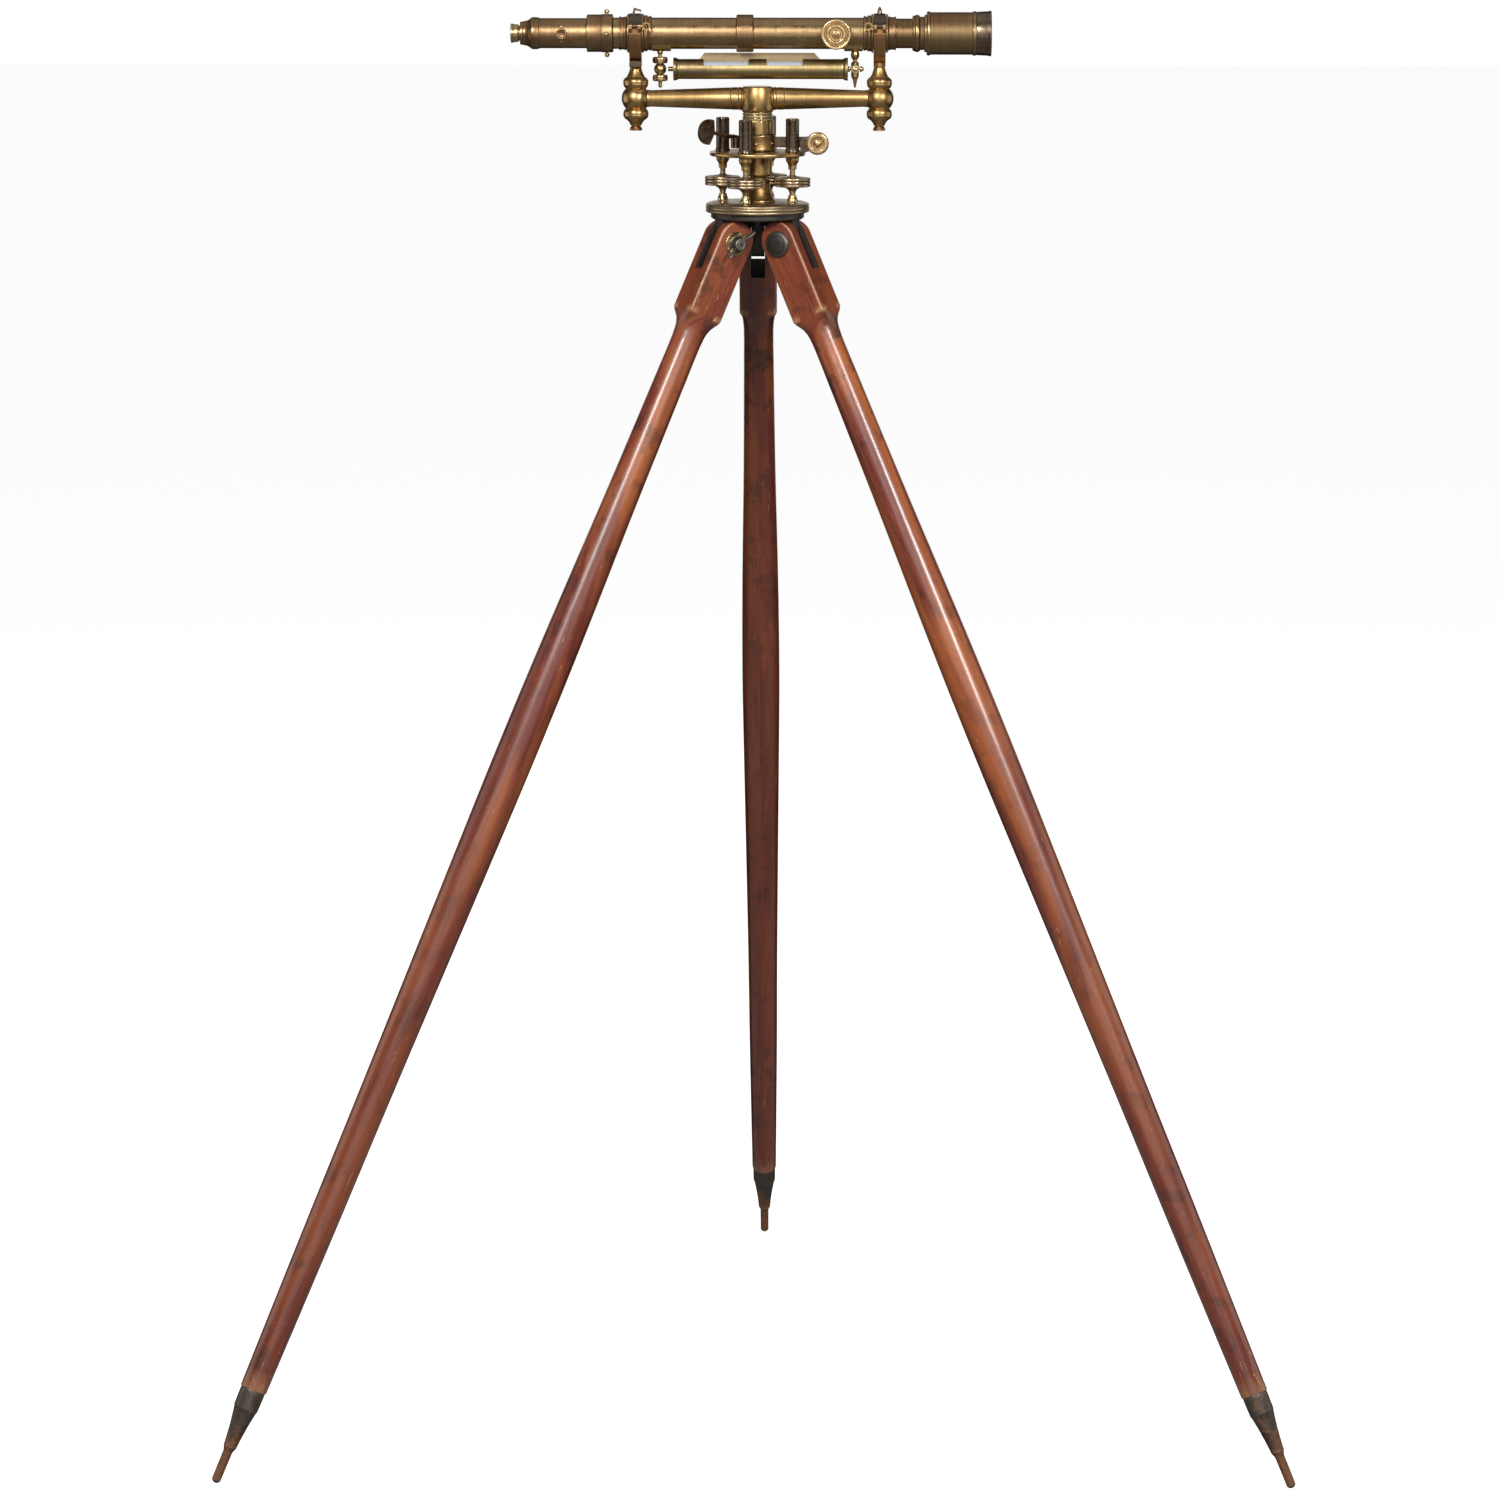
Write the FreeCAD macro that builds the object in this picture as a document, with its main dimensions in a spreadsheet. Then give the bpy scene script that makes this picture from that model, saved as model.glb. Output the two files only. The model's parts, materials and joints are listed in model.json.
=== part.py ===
import FreeCAD, Part
import math
import os
import Sketcher

# A wye level on a three-legged wooden tripod. The frame's origin is on the ground below the
# middle of the three feet's box, +Z is up, +X runs from the eyepiece to the objective and the
# rear leg points to +Y. All lengths are millimetres and all angles degrees.

SIZES = {
    # tripod
    "foot_r": 695.6, "hinge_r": 40, "hinge_z": 1360, "splay": 25.74,
    "block_w": 43, "block_up": 3.5, "block_end": 88, "slot_w": 16, "slot_end": 40, "shoe_start": 1397,
    "leg_len": 1509, "neck_r": 17.3, "belly_r": 22.5, "ankle_r": 15, "shoe_r": 14.25,
    "bolt_r": 4, "bolt_head_r": 14.7, "washer_r": 13.6, "washer_t": 2, "wing_r": 9,
    "wing_span": 21, "head_r": 53, "head_t": 8, "lug_gap": 0.6, "bob_r": 3,
    "lug_reach": 10, "wing_lean": 40,
    # levelling head
    "base_r": 59, "base_t": 11.3, "base_z": 1393.3, "plate_r": 54.5, "plate_t": 4.4,
    "plate_z": 1457, "screw_circle": 41.7, "stem_r": 3.1, "disc_r": 20.5, "disc_t": 10.6,
    "disc_z": 23, "cup_r": 6, "boss_r": 7.5, "boss_len": 15, "cap_r": 7.6, "cap_len": 38,
    "ball_r": 6.5, "ball_z": 14, "housing_r": 20, "housing_top_r": 13, "housing_len": 26,
    "sleeve_r": 16.3, "sleeve_len": 23, "socket_wall": 4.2, "tube_r": 13, "tube_len": 34,
    # clamp and slow motion
    "collar_r": 20, "collar_len": 18, "arm_w": 6, "arm_h": 12, "tangent_x": 68,
    "tangent_r": 2.5, "knob_r": 12.8, "knob_t": 10, "ear_gap": 8, "ear_w": 8,
    "clamp_r": 3, "clamp_reach": 56, "paddle_r": 14,
    # level bar and wyes
    "bar_z": 1521, "hub_r": 18.1, "hub_up": 13.6, "hub_down": 14.7, "arm_root_r": 13.2,
    "arm_tip_r": 9.9, "wye_x": 137.6, "end_r": 16.2, "end_half": 11, "spindle_r": 9,
    "wye_stem_r": 5, "nut_r": 14.2, "nut_len": 13, "wye_w": 13.5,
    "wye_out": 24.5, "wye_arm_up": 7, "clip_t": 3.5, "hinge_pin_r": 1.2,
    # telescope
    "scope_z": 1594, "main_r": 17.6, "main_wall": 0.9, "ring_r": 21.8, "seat_r": 18.5,
    "slide_wall": 1.2, "eye_x": 279, "cap_end_r": 10.8, "barrel_r": 13, "eye_tube_r": 8.5,
    "collar_big_r": 21, "cell_r": 21, "shade_r": 23.8, "shade_x": 190.5, "shade_len": 73,
    "focus_x": 88.5, "focus_r": 17, "pinion_r": 3.2, "rack_gap": 0.4,
    # level vial
    "vial_drop": 40, "vial_r": 11.3, "vial_half": 100, "glass_r": 8.5,
    "post_x": 110, "saddle_w": 21, "saddle_in": 1.8, "post_nut_r": 8.6, "post_ball_r": 7,
    # fits
    "run_fit": 0.05, "gap": 0.3,
}

DOC = FreeCAD.newDocument("wye_level")
PIECES = []


class Size:
    """A number together with the spreadsheet formula that gives it."""

    def __init__(self, value, text=None):
        self.value = float(value)
        self.text = text if text is not None else repr(float(value))

    def mix(self, other, sign, value, swap=False):
        first, second = (other, self) if swap else (self, other)
        return Size(value, f"({first.text} {sign} {second.text})")

    def __add__(self, other):
        other = size(other)
        return self.mix(other, "+", self.value + other.value)

    def __sub__(self, other):
        other = size(other)
        return self.mix(other, "-", self.value - other.value)

    def __mul__(self, other):
        other = size(other)
        return self.mix(other, "*", self.value * other.value)

    def __truediv__(self, other):
        other = size(other)
        return self.mix(other, "/", self.value / other.value)

    def __rsub__(self, other):
        return size(other) - self

    def __neg__(self):
        return size(0) - self

    __radd__ = __add__
    __rmul__ = __mul__


def size(number):
    return number if isinstance(number, Size) else Size(number)


def make_sheet():
    """Puts every driving size in the sheet and returns them by name."""
    sheet = DOC.addObject("Spreadsheet::Sheet", "Sizes")
    for row, (name, value) in enumerate(SIZES.items(), 1):
        sheet.set(f"A{row}", name)
        sheet.set(f"B{row}", str(value))
        sheet.setAlias(f"B{row}", name)
    DOC.recompute()
    return {name: Size(value, f"Sizes.{name}") for name, value in SIZES.items()}


class Sizes:
    """The driving sizes, each read by its name."""

    def __init__(self, table):
        self.__dict__.update(table)


S = Sizes(make_sheet())

# Heights and places that several pieces share.
BASE_TOP = S.base_z + S.base_t
PLATE_TOP = S.plate_z + S.plate_t
BALL_Z = BASE_TOP + S.ball_z
AXIS_Y = -(S.foot_r * 0.25)
SLIDE_R = S.main_r - S.main_wall - S.run_fit
VIAL_Z = S.scope_z - S.vial_drop
TURNS = {"x": (1, 0, 0), "y": (0, 1, 0), "z": (0, 0, 1)}
LEGS = {"rear": 90, "left": 210, "right": 330}
SCREWS = {1: 251.87, 2: 341.87, 3: 71.87, 4: 161.87}


def bind(thing, **values):
    """Binds a feature's properties to sizes."""
    for name, value in values.items():
        thing.setExpression(name, size(value).text)


def shift(x=0, y=0, z=0):
    return f"placement(vector({size(x).text}; {size(y).text}; {size(z).text}); rotation(vector(0; 0; 1); 0))"


def turn(axis, angle):
    x, y, z = TURNS[axis]
    return f"placement(vector(0; 0; 0); rotation(vector({x}; {y}; {z}); {size(angle).text}))"


def put(thing, *moves):
    thing.setExpression("Placement", " * ".join(moves))


def on_axis(z=0):
    """A place on the instrument's upright axis."""
    return shift(0, AXIS_Y, z)


def along_x(x=0):
    """A place on the telescope's axis, with the piece's own Z along +X and its own X down."""
    return f"{shift(x, AXIS_Y, S.scope_z)} * {turn('y', 90)}"


def keep(thing, label):
    thing.Label = label
    PIECES.append(thing)
    return thing


class Piece:
    """A PartDesign body, built a feature at a time."""

    def __init__(self, label, *moves):
        self.body = keep(DOC.addObject("PartDesign::Body", label + "_body"), label)
        put(self.body, *moves)

    def plane(self, role):
        return [f for f in self.body.Origin.OriginFeatures if f.Role == role][0]

    def sketch(self, role, lift=0, aside=0):
        """A sketch on one of the body's planes, lifted off it or moved aside along its own X."""
        sketch = self.body.newObject("Sketcher::SketchObject", "Sketch")
        sketch.AttachmentSupport = [(self.plane(role), "")]
        sketch.MapMode = "FlatFace"
        sketch.setExpression(".AttachmentOffset.Base.x", size(aside).text)
        sketch.setExpression(".AttachmentOffset.Base.z", size(lift).text)
        return sketch

    def spin(self, points, cut=False, axis="V_Axis", aside=0):
        """Turns an outline about the sketch's axis, and adds or cuts what it sweeps."""
        sketch = self.sketch("XZ_Plane", aside=aside)
        outline(sketch, points)
        kind = "PartDesign::Groove" if cut else "PartDesign::Revolution"
        feature = self.body.newObject(kind, "Groove" if cut else "Revolution")
        feature.Profile = sketch
        feature.ReferenceAxis = (sketch, [axis])
        feature.Angle = 360
        return feature

    def slab(self, points, role, length, cut=False, lift=0, middle=True):
        """Pads or pockets an outline by a length, on both sides of its plane or only above."""
        sketch = self.sketch(role, lift)
        outline(sketch, points)
        return self.push(sketch, length, cut, middle)

    def disc(self, x, y, radius, role, length, cut=False, lift=0, middle=True):
        """Pads or pockets a circle."""
        sketch = self.sketch(role, lift)
        centre = FreeCAD.Vector(size(x).value, size(y).value, 0)
        sketch.addGeometry(Part.Circle(centre, FreeCAD.Vector(0, 0, 1), size(radius).value), False)
        hold(sketch, 0, 3, x, y)
        number = sketch.addConstraint(Sketcher.Constraint("Radius", 0, size(radius).value))
        sketch.setExpression(f"Constraints[{number}]", size(radius).text)
        return self.push(sketch, length, cut, middle)

    def push(self, sketch, length, cut, middle):
        kind = "PartDesign::Pocket" if cut else "PartDesign::Pad"
        feature = self.body.newObject(kind, "Pocket" if cut else "Pad")
        feature.Profile = sketch
        if middle:
            feature.Midplane = True
        elif cut:
            feature.Reversed = True
        bind(feature, Length=length)
        return feature

    def ring(self, feature, count):
        """Repeats a feature evenly about the piece's own Z."""
        pattern = self.body.newObject("PartDesign::PolarPattern", "PolarPattern")
        pattern.Originals = [feature]
        pattern.Axis = (self.body.Origin.OriginFeatures[2], [""])
        pattern.Angle = 360
        pattern.Occurrences = count
        self.body.Tip = pattern
        return pattern


def hold(sketch, geometry, point, x, y):
    """Fixes a sketch point at a place given by two sizes."""
    for kind, place in (("DistanceX", size(x)), ("DistanceY", size(y))):
        rule = Sketcher.Constraint(kind, -1, 1, geometry, point, place.value)
        number = sketch.addConstraint(rule)
        sketch.setExpression(f"Constraints[{number}]", place.text)


def outline(sketch, points):
    """Draws a closed outline. A point with a third entry is one that an arc passes through."""
    corners = [p for p in points if len(p) == 2]
    vectors = [FreeCAD.Vector(size(p[0]).value, size(p[1]).value, 0) for p in points]
    number = 0
    through = []
    for index, point in enumerate(points):
        if len(point) == 3:
            continue
        follower = (index + 1) % len(points)
        if len(points[follower]) == 3:
            end = (follower + 1) % len(points)
            arc = Part.Arc(vectors[index], vectors[follower], vectors[end])
            number = sketch.addGeometry(arc, False)
            cross = (vectors[follower] - vectors[index]).cross(vectors[end] - vectors[follower]).z
            through.append((number, points[follower], cross > 0))
        else:
            line = Part.LineSegment(vectors[index], vectors[follower])
            number = sketch.addGeometry(line, False)
            through.append((number, None, True))
    count = len(through)
    for index, (number, _, forward) in enumerate(through):
        nxt = through[(index + 1) % count]
        tail = 2 if forward else 1
        head = 1 if nxt[2] else 2
        sketch.addConstraint(Sketcher.Constraint("Coincident", number, tail, nxt[0], head))
    for (number, _, forward), corner in zip(through, corners):
        hold(sketch, number, 1 if forward else 2, *corner)
    for number, middle, _ in through:
        if middle:
            spot = FreeCAD.Vector(size(middle[0]).value, size(middle[1]).value, 0)
            extra = sketch.addGeometry(Part.Point(spot), True)
            sketch.addConstraint(Sketcher.Constraint("PointOnObject", extra, 1, number))
            hold(sketch, extra, 1, middle[0], middle[1])


def via(x, y):
    return (x, y, "arc")


def ring_outline(inner, outer, low, high):
    return [(inner, low), (outer, low), (outer, high), (inner, high)]


def box_outline(x0, x1, y0, y1):
    return [(x0, y0), (x1, y0), (x1, y1), (x0, y1)]


def group(label, solids):
    """One sub-part made of several equal separate solids."""
    compound = DOC.addObject("Part::Compound", label + "_group")
    compound.Links = solids
    return keep(compound, label)


def loose(*moves):
    """A body that is only a member of a group."""
    piece = Piece("member", *moves)
    PIECES.remove(piece.body)
    return piece


# ---- tripod ---------------------------------------------------------------------------------

def tripod_head():
    """The iron head: a round plate with one lug for each leg and a plumb-bob boss."""
    piece = Piece("tripod_head", on_axis(S.base_z))
    boss = 9
    piece.spin(
        [(0, -S.head_t - 1), (S.bob_r, -S.head_t - 1), (S.bob_r, -S.head_t - 10),
         (boss - 2, -S.head_t - 10), (boss, -S.head_t - 7), (boss, -S.head_t),
         (S.head_r - 3, -S.head_t), (S.head_r, -S.head_t + 2), (S.head_r, 0), (0, 0)]
    )
    drop = S.base_z - S.hinge_z
    half = S.slot_w / 2 - S.lug_gap
    lug_r = 11
    reach = S.lug_reach
    lug = piece.slab(
        [(S.hinge_r - lug_r, -S.head_t + 1), (S.hinge_r - lug_r, -drop - reach),
         via(S.hinge_r, -drop - reach - lug_r), (S.hinge_r + lug_r, -drop - reach),
         (S.hinge_r + lug_r, -S.head_t + 1)],
        "XZ_Plane", half * 2,
    )
    piece.ring(lug, 3)
    hole = piece.disc(S.hinge_r, -drop, S.bolt_r, "XZ_Plane", half * 2 + 2, cut=True)
    piece.ring(hole, 3)
    return turn_body(piece, 90)


def turn_body(piece, angle):
    """Turns a piece about its own Z after it is placed."""
    text = dict(piece.body.ExpressionEngine)["Placement"]
    put(piece.body, text, turn("z", angle))
    return piece


def at_hinge(angle):
    """The middle of a leg's hinge, own X outward and own Y along the bolt."""
    return " * ".join([on_axis(S.hinge_z), turn("z", angle), shift(S.hinge_r)])


def leg_bolt(angle):
    """A round-headed bolt along the hinge, its head on one side of the leg."""
    half = S.block_w / 2
    bolt = loose(at_hinge(angle), turn("x", 90))
    head = half + S.gap
    bolt.spin(
        [(0, -half - 13), (S.bolt_r, -half - 13), (S.bolt_r, head), (S.bolt_head_r, head),
         (S.bolt_head_r, head + 2), via(S.bolt_head_r * 0.72, head + 4.6), (1, head + 5.6),
         (0, head + 5.6)]
    )
    return bolt.body


def leg_washer(angle):
    half = S.block_w / 2 + S.gap
    washer = loose(at_hinge(angle), turn("x", 90))
    washer.spin(ring_outline(S.bolt_r, S.washer_r, -half - S.washer_t, -half))
    return washer.body


def leg(name, angle):
    """A solid leg: a square slotted block, then a long round swell that tapers to the shoe."""
    piece = Piece(f"leg_{name}", at_hinge(angle), turn("y", -S.splay))
    half = S.block_w / 2
    top = S.block_up
    piece.slab(
        [(half, top), (half, -S.block_end), (-half, -S.block_end), (-half, top), via(0, top + half)],
        "XZ_Plane", S.block_w,
    )
    edge = 3.5
    for side in (-1, 1):
        for face in (-1, 1):
            corner = (half * side, half * face)
            piece.slab(
                [corner, (half * side - edge * side, half * face),
                 (half * side, half * face - edge * face)],
                "XY_Plane", S.block_end, cut=True, lift=-S.block_end, middle=False,
            )
    shoulder = S.block_end - 1
    piece.spin(
        [(0, -shoulder), (half, -shoulder), (half, -S.block_end - 4),
         via(S.neck_r + 1, -S.block_end - 16), (S.neck_r, -S.block_end - 33),
         (S.neck_r + 1.5, -315), (S.belly_r - 1.1, -461), (S.belly_r - 0.1, -560),
         (S.belly_r, -604), (S.belly_r - 0.1, -650), (S.belly_r - 1.2, -755),
         (S.belly_r - 2.8, -900), (S.ankle_r + 3.2, -1045), (S.ankle_r + 2.5, -1190),
         (S.ankle_r + 1.5, -1286), (S.ankle_r, -S.shoe_start), (0, -S.shoe_start)]
    )
    piece.slab(
        box_outline(-half - 1, half + 1, -S.slot_w / 2, S.slot_w / 2),
        "XY_Plane", S.slot_end + half + top + 1, cut=True, lift=-S.slot_end, middle=False,
    )
    piece.disc(0, 0, S.bolt_r + S.run_fit, "XZ_Plane", S.block_w + 2, cut=True)
    return piece


def leg_shoe(name, angle):
    """The iron shoe with its collar, cone and blunt point."""
    piece = Piece(f"leg_shoe_{name}", at_hinge(angle), turn("y", -S.splay))
    tip = 5.25
    neck = S.shoe_start + 69
    piece.spin(
        [(0, -S.shoe_start), (S.shoe_r, -S.shoe_start), (S.shoe_r, -S.shoe_start - 22),
         (7.5, -neck), (tip, -neck - 6), (tip, -S.leg_len + tip),
         via(tip * 0.75, -S.leg_len + 1.4), (1, -S.leg_len), (0, -S.leg_len)]
    )
    return piece


def wing_nut(name, angle):
    """A wing nut that turns on the bolt's threaded end."""
    piece = Piece(f"wing_nut_{name}", at_hinge(angle), turn("x", 90), turn("z", -S.wing_lean))
    face = S.block_w / 2 + S.washer_t + S.gap * 2
    bore = S.bolt_r + S.run_fit
    piece.spin([(bore, -face), (S.wing_r, -face), (S.wing_r * 0.72, -face - 10), (bore, -face - 10)])
    wing = 3
    for side in (-1, 1):
        piece.slab(
            [((S.wing_r - 2.4) * side, -face - 2), (S.wing_span * side, -face - 8),
             via((S.wing_span + 2) * side, -face - 15), ((S.wing_span - 6) * side, -face - 16),
             ((S.wing_r - 3) * side, -face - 9)],
            "XZ_Plane", wing,
        )
    return piece


# ---- levelling head -------------------------------------------------------------------------

def base_plate():
    """The lower parallel plate with two grooves round its rim."""
    piece = Piece("base_plate", on_axis(S.base_z))
    rim = S.base_r
    piece.spin(
        [(0, 0), (rim - 1, 0), (rim, 1), (rim, 2.6), via(rim - 0.8, 3.4), (rim, 4.2), (rim, 6.4),
         via(rim - 0.8, 7.2), (rim, 8), (rim - 1, S.base_t - 1.4), (rim - 5.5, S.base_t), (0, S.base_t)]
    )
    return piece


def ball_housing():
    """The cone on the base plate whose mouth holds the levelling ball on a small cup."""
    piece = Piece("ball_housing", on_axis(BASE_TOP))
    room = S.ball_r + S.run_fit + S.socket_wall + 1.2
    piece.spin(
        [(0, 0), (S.housing_r, 0), (S.housing_r, 2), via(S.housing_r - 3.6, 12),
         (S.housing_top_r + 1, S.housing_len - 4), (S.housing_top_r, S.housing_len),
         (room - 1.4, S.housing_len), (room, S.ball_z), (room, 2), (4, 2),
         (4, S.ball_z - S.ball_r * 0.815), (2, S.ball_z - S.ball_r * 0.977),
         (0, S.ball_z - S.ball_r * 1.015)]
    )
    return piece


def centre_ball():
    """The ball that the instrument tilts on."""
    piece = Piece("centre_ball", on_axis(BALL_Z))
    piece.spin([(0, -S.ball_r), via(S.ball_r, 0), (0, S.ball_r)])
    return piece


def levelling_plate():
    """The upper parallel plate, its socket over the ball, its tube and its four nut bosses."""
    piece = Piece("levelling_plate", on_axis(BALL_Z))
    low = S.plate_z - BALL_Z
    top = low + S.plate_t
    hollow = S.ball_r + S.run_fit
    neck = hollow + S.socket_wall - 1.6
    bore = S.spindle_r + S.run_fit
    piece.spin(
        [(hollow, 0), (hollow + S.socket_wall, 0), via((hollow + S.socket_wall) * 0.9, 5),
         (neck, 8), (neck, low - S.sleeve_len), (S.sleeve_r, low - S.sleeve_len),
         (S.sleeve_r, low), (S.plate_r - 1, low), (S.plate_r, low + 1), (S.plate_r, top - 1),
         (S.plate_r - 1, top), (S.tube_r + 3, top), (S.tube_r + 3, top + 1), (S.tube_r, top + 1),
         (S.tube_r, top + S.tube_len), (bore, top + S.tube_len), (bore, low - 12),
         (0, low - 12), (0, hollow), via(hollow * 0.7071, hollow * 0.7071)]
    )
    for angle in SCREWS.values():
        x = S.screw_circle * math.cos(math.radians(angle))
        y = S.screw_circle * math.sin(math.radians(angle))
        piece.disc(x, y, S.boss_r, "XY_Plane", S.boss_len / 2 + 1, lift=low - S.boss_len / 2,
                   middle=False)
        piece.disc(x, y, S.stem_r + 1.9, "XY_Plane", S.boss_len + 1, lift=low - S.boss_len,
                   middle=False)
        piece.disc(x, y, S.stem_r + S.run_fit, "XY_Plane", S.boss_len + S.plate_t + 2, cut=True,
                   lift=low - S.boss_len - 1, middle=False)


def at_screw(number, z):
    """The axis of a levelling screw at a height."""
    return " * ".join([on_axis(z), turn("z", SCREWS[number]), shift(S.screw_circle)])


def foot_cup(number):
    """The brass shoe that a levelling screw turns in; its foot is slightly domed."""
    piece = Piece(f"foot_cup_{number}", at_screw(number, BASE_TOP + 0.15))
    bore = S.stem_r - 0.6 + S.run_fit
    piece.spin(
        [(0, 0), (1, 0), via(S.cup_r * 0.6, 0.15), (S.cup_r, 0.6), (S.cup_r, 3), (S.cup_r - 1.6, 9),
         (bore, 9), (bore, 4), (0, 4)]
    )


def levelling_screw(number):
    """A levelling screw: tip, stem, ridged thumb disc and the thread that goes up the cap."""
    piece = Piece(f"levelling_screw_{number}", at_screw(number, BASE_TOP + 0.15))
    low = S.disc_z - S.disc_t / 2
    step = S.disc_t / 6
    rim = S.disc_r
    top = S.plate_z + S.plate_t - BASE_TOP + S.cap_len - 10
    tip = S.stem_r - 0.6
    ridges = [(rim - 1.2, low)]
    for count in range(3):
        foot = low + step * (2 * count)
        ridges += [(rim - 1.2, foot + 0.2), via(rim, foot + step), (rim - 1.2, foot + step * 2 - 0.2)]
    piece.spin(
        [(0, 4.3), (tip, 4.3), (tip, 9.3), (S.stem_r, 9.3), (S.stem_r + 1.2, low - 4),
         (rim - 8, low)] + ridges[1:] + [(rim - 8, low + S.disc_t),
         (S.stem_r + 2, low + S.disc_t + 1), (S.stem_r, low + S.disc_t + 3), (S.stem_r, top), (0, top)]
    )


def dust_caps():
    """Four dark caps over the screws' ends, closed at the top."""
    caps = []
    for number in SCREWS:
        cap = loose(at_screw(number, PLATE_TOP))
        bore = S.stem_r + S.gap * 2
        cap.spin(
            [(bore, 0), (S.cap_r + 0.7, 0), (S.cap_r + 0.7, 2), (S.cap_r, 3),
             (S.cap_r, S.cap_len - 1.6), via(S.cap_r - 0.5, S.cap_len - 0.5),
             (S.cap_r - 1.6, S.cap_len), (0, S.cap_len), (0, S.cap_len - 4), (bore, S.cap_len - 4)]
        )
        caps.append(cap.body)
    group("dust_caps", caps)


TANGENT_Z = PLATE_TOP + 10.6


def tangent_block():
    """Two ears on the plate's edge that hold the slow-motion screw."""
    ears = []
    for side in (-1, 1):
        ear = loose(on_axis(TANGENT_Z))
        near = S.ear_gap * side
        far = (S.ear_gap + S.ear_w) * side
        low = PLATE_TOP - TANGENT_Z
        ear.slab(
            [(48.3, low), (S.plate_r, low), (S.tangent_x, -6.5), via(S.tangent_x + 6.5, 0),
             (S.tangent_x, 6.5), (52, 5), (48.3, 2)],
            "XZ_Plane", S.ear_w, lift=-(near + far) / 2,
        )
        ear.disc(S.tangent_x, 0, S.tangent_r + S.run_fit, "XZ_Plane", S.ear_w + 2, cut=True,
                 lift=-(near + far) / 2)
        ears.append(ear.body)
    group("tangent_block", ears)


# ---- clamp and slow motion ------------------------------------------------------------------

CLAMP_ANGLE = 206.87
CLAMP_RISE = 12


def clamp_collar():
    """The clamp's split ring round the tube, its screw boss and the long slow-motion arm."""
    piece = Piece("clamp_collar", on_axis(TANGENT_Z))
    low = PLATE_TOP - TANGENT_Z + 1 + S.gap
    bore = S.tube_r + S.run_fit
    top = low + S.collar_len
    piece.slab(
        [(S.tube_r + 3, -S.arm_h / 2), (S.tangent_x - 4, -S.arm_h / 2), (S.tangent_x + 5, -4),
         (S.tangent_x + 5, 4), (S.tangent_x - 4, S.arm_h / 2), (S.tube_r + 3, S.arm_h / 2)],
        "XZ_Plane", S.arm_w,
    )
    piece.spin(
        [(bore, low), (S.collar_r, low), (S.collar_r, low + 3), (S.collar_r - 0.8, low + 3.8),
         (S.collar_r - 0.8, top - 3.8), (S.collar_r, top - 3), (S.collar_r, top), (bore, top)]
    )
    piece.disc(S.tangent_x, 0, S.tangent_r + 0.4, "XZ_Plane", S.arm_w + 2, cut=True)
    cut = S.clamp_r + S.run_fit
    x = S.collar_r * math.cos(math.radians(CLAMP_ANGLE))
    y = S.collar_r * math.sin(math.radians(CLAMP_ANGLE))
    piece.disc(x, y, cut + 3, "XY_Plane", 12)
    piece.disc(x * 1.35, y * 1.35, cut + 3.2, "XY_Plane", 12)
    piece.disc(0, 0, bore, "XY_Plane", S.collar_len * 3, cut=True)
    bolt = DOC.addObject("Part::Cylinder", "clamp_bore")
    bind(bolt, Radius=cut, Height=40)
    put(bolt, on_axis(TANGENT_Z), turn("z", CLAMP_ANGLE), turn("y", 90 - CLAMP_RISE), shift(z=14))
    PIECES.remove(piece.body)
    piece.body.Label = "collar_blank"
    bored = DOC.addObject("Part::Cut", "clamp_collar_bored")
    bored.Base = piece.body
    bored.Tool = bolt
    keep(bored, "clamp_collar")


def clamp_screw():
    """The clamp's screw with its crescent thumb blade."""
    piece = Piece(
        "clamp_screw", on_axis(TANGENT_Z), turn("z", CLAMP_ANGLE), turn("y", 90 - CLAMP_RISE)
    )
    start = S.clamp_reach
    piece.spin(
        [(0, S.tube_r + 1.2), (S.clamp_r, S.tube_r + 1.2), (S.clamp_r, 32), (S.clamp_r - 0.8, 36),
         (2, start + 2), (0, start + 2)]
    )
    wide = S.paddle_r
    piece.slab(
        [(-2.4, start), (-wide, start + 3), via(-wide * 0.9, start + 13), (-6, start + 18.5),
         via(-0.1, start + 19.5), (6, start + 18.5), via(wide * 0.9, start + 13), (wide, start + 3),
         (2.4, start)],
        "XZ_Plane", 3.4,
    )


def tangent_screw():
    """The slow-motion screw through both ears, with its milled knob."""
    piece = Piece("tangent_screw", shift(S.tangent_x, AXIS_Y, TANGENT_Z), turn("x", 90))
    far = S.ear_gap + S.ear_w
    knob = far + 3
    piece.spin(
        [(0, -far - 4), (4, -far - 4), (4, -far - S.gap), (S.tangent_r, -far - S.gap),
         (S.tangent_r, far + S.gap), (4.5, far + S.gap), (4.5, knob), (S.knob_r, knob),
         (S.knob_r, knob + S.knob_t - 3), (S.knob_r - 2, knob + S.knob_t - 1),
         (S.knob_r - 5, knob + S.knob_t - 1), (S.knob_r - 6, knob + S.knob_t - 3),
         (5, knob + S.knob_t - 3), via(3.6, knob + S.knob_t - 0.6), (1, knob + S.knob_t),
         (0, knob + S.knob_t)]
    )


# ---- level bar and wyes ---------------------------------------------------------------------

HUB_ROOM = 21


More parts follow.
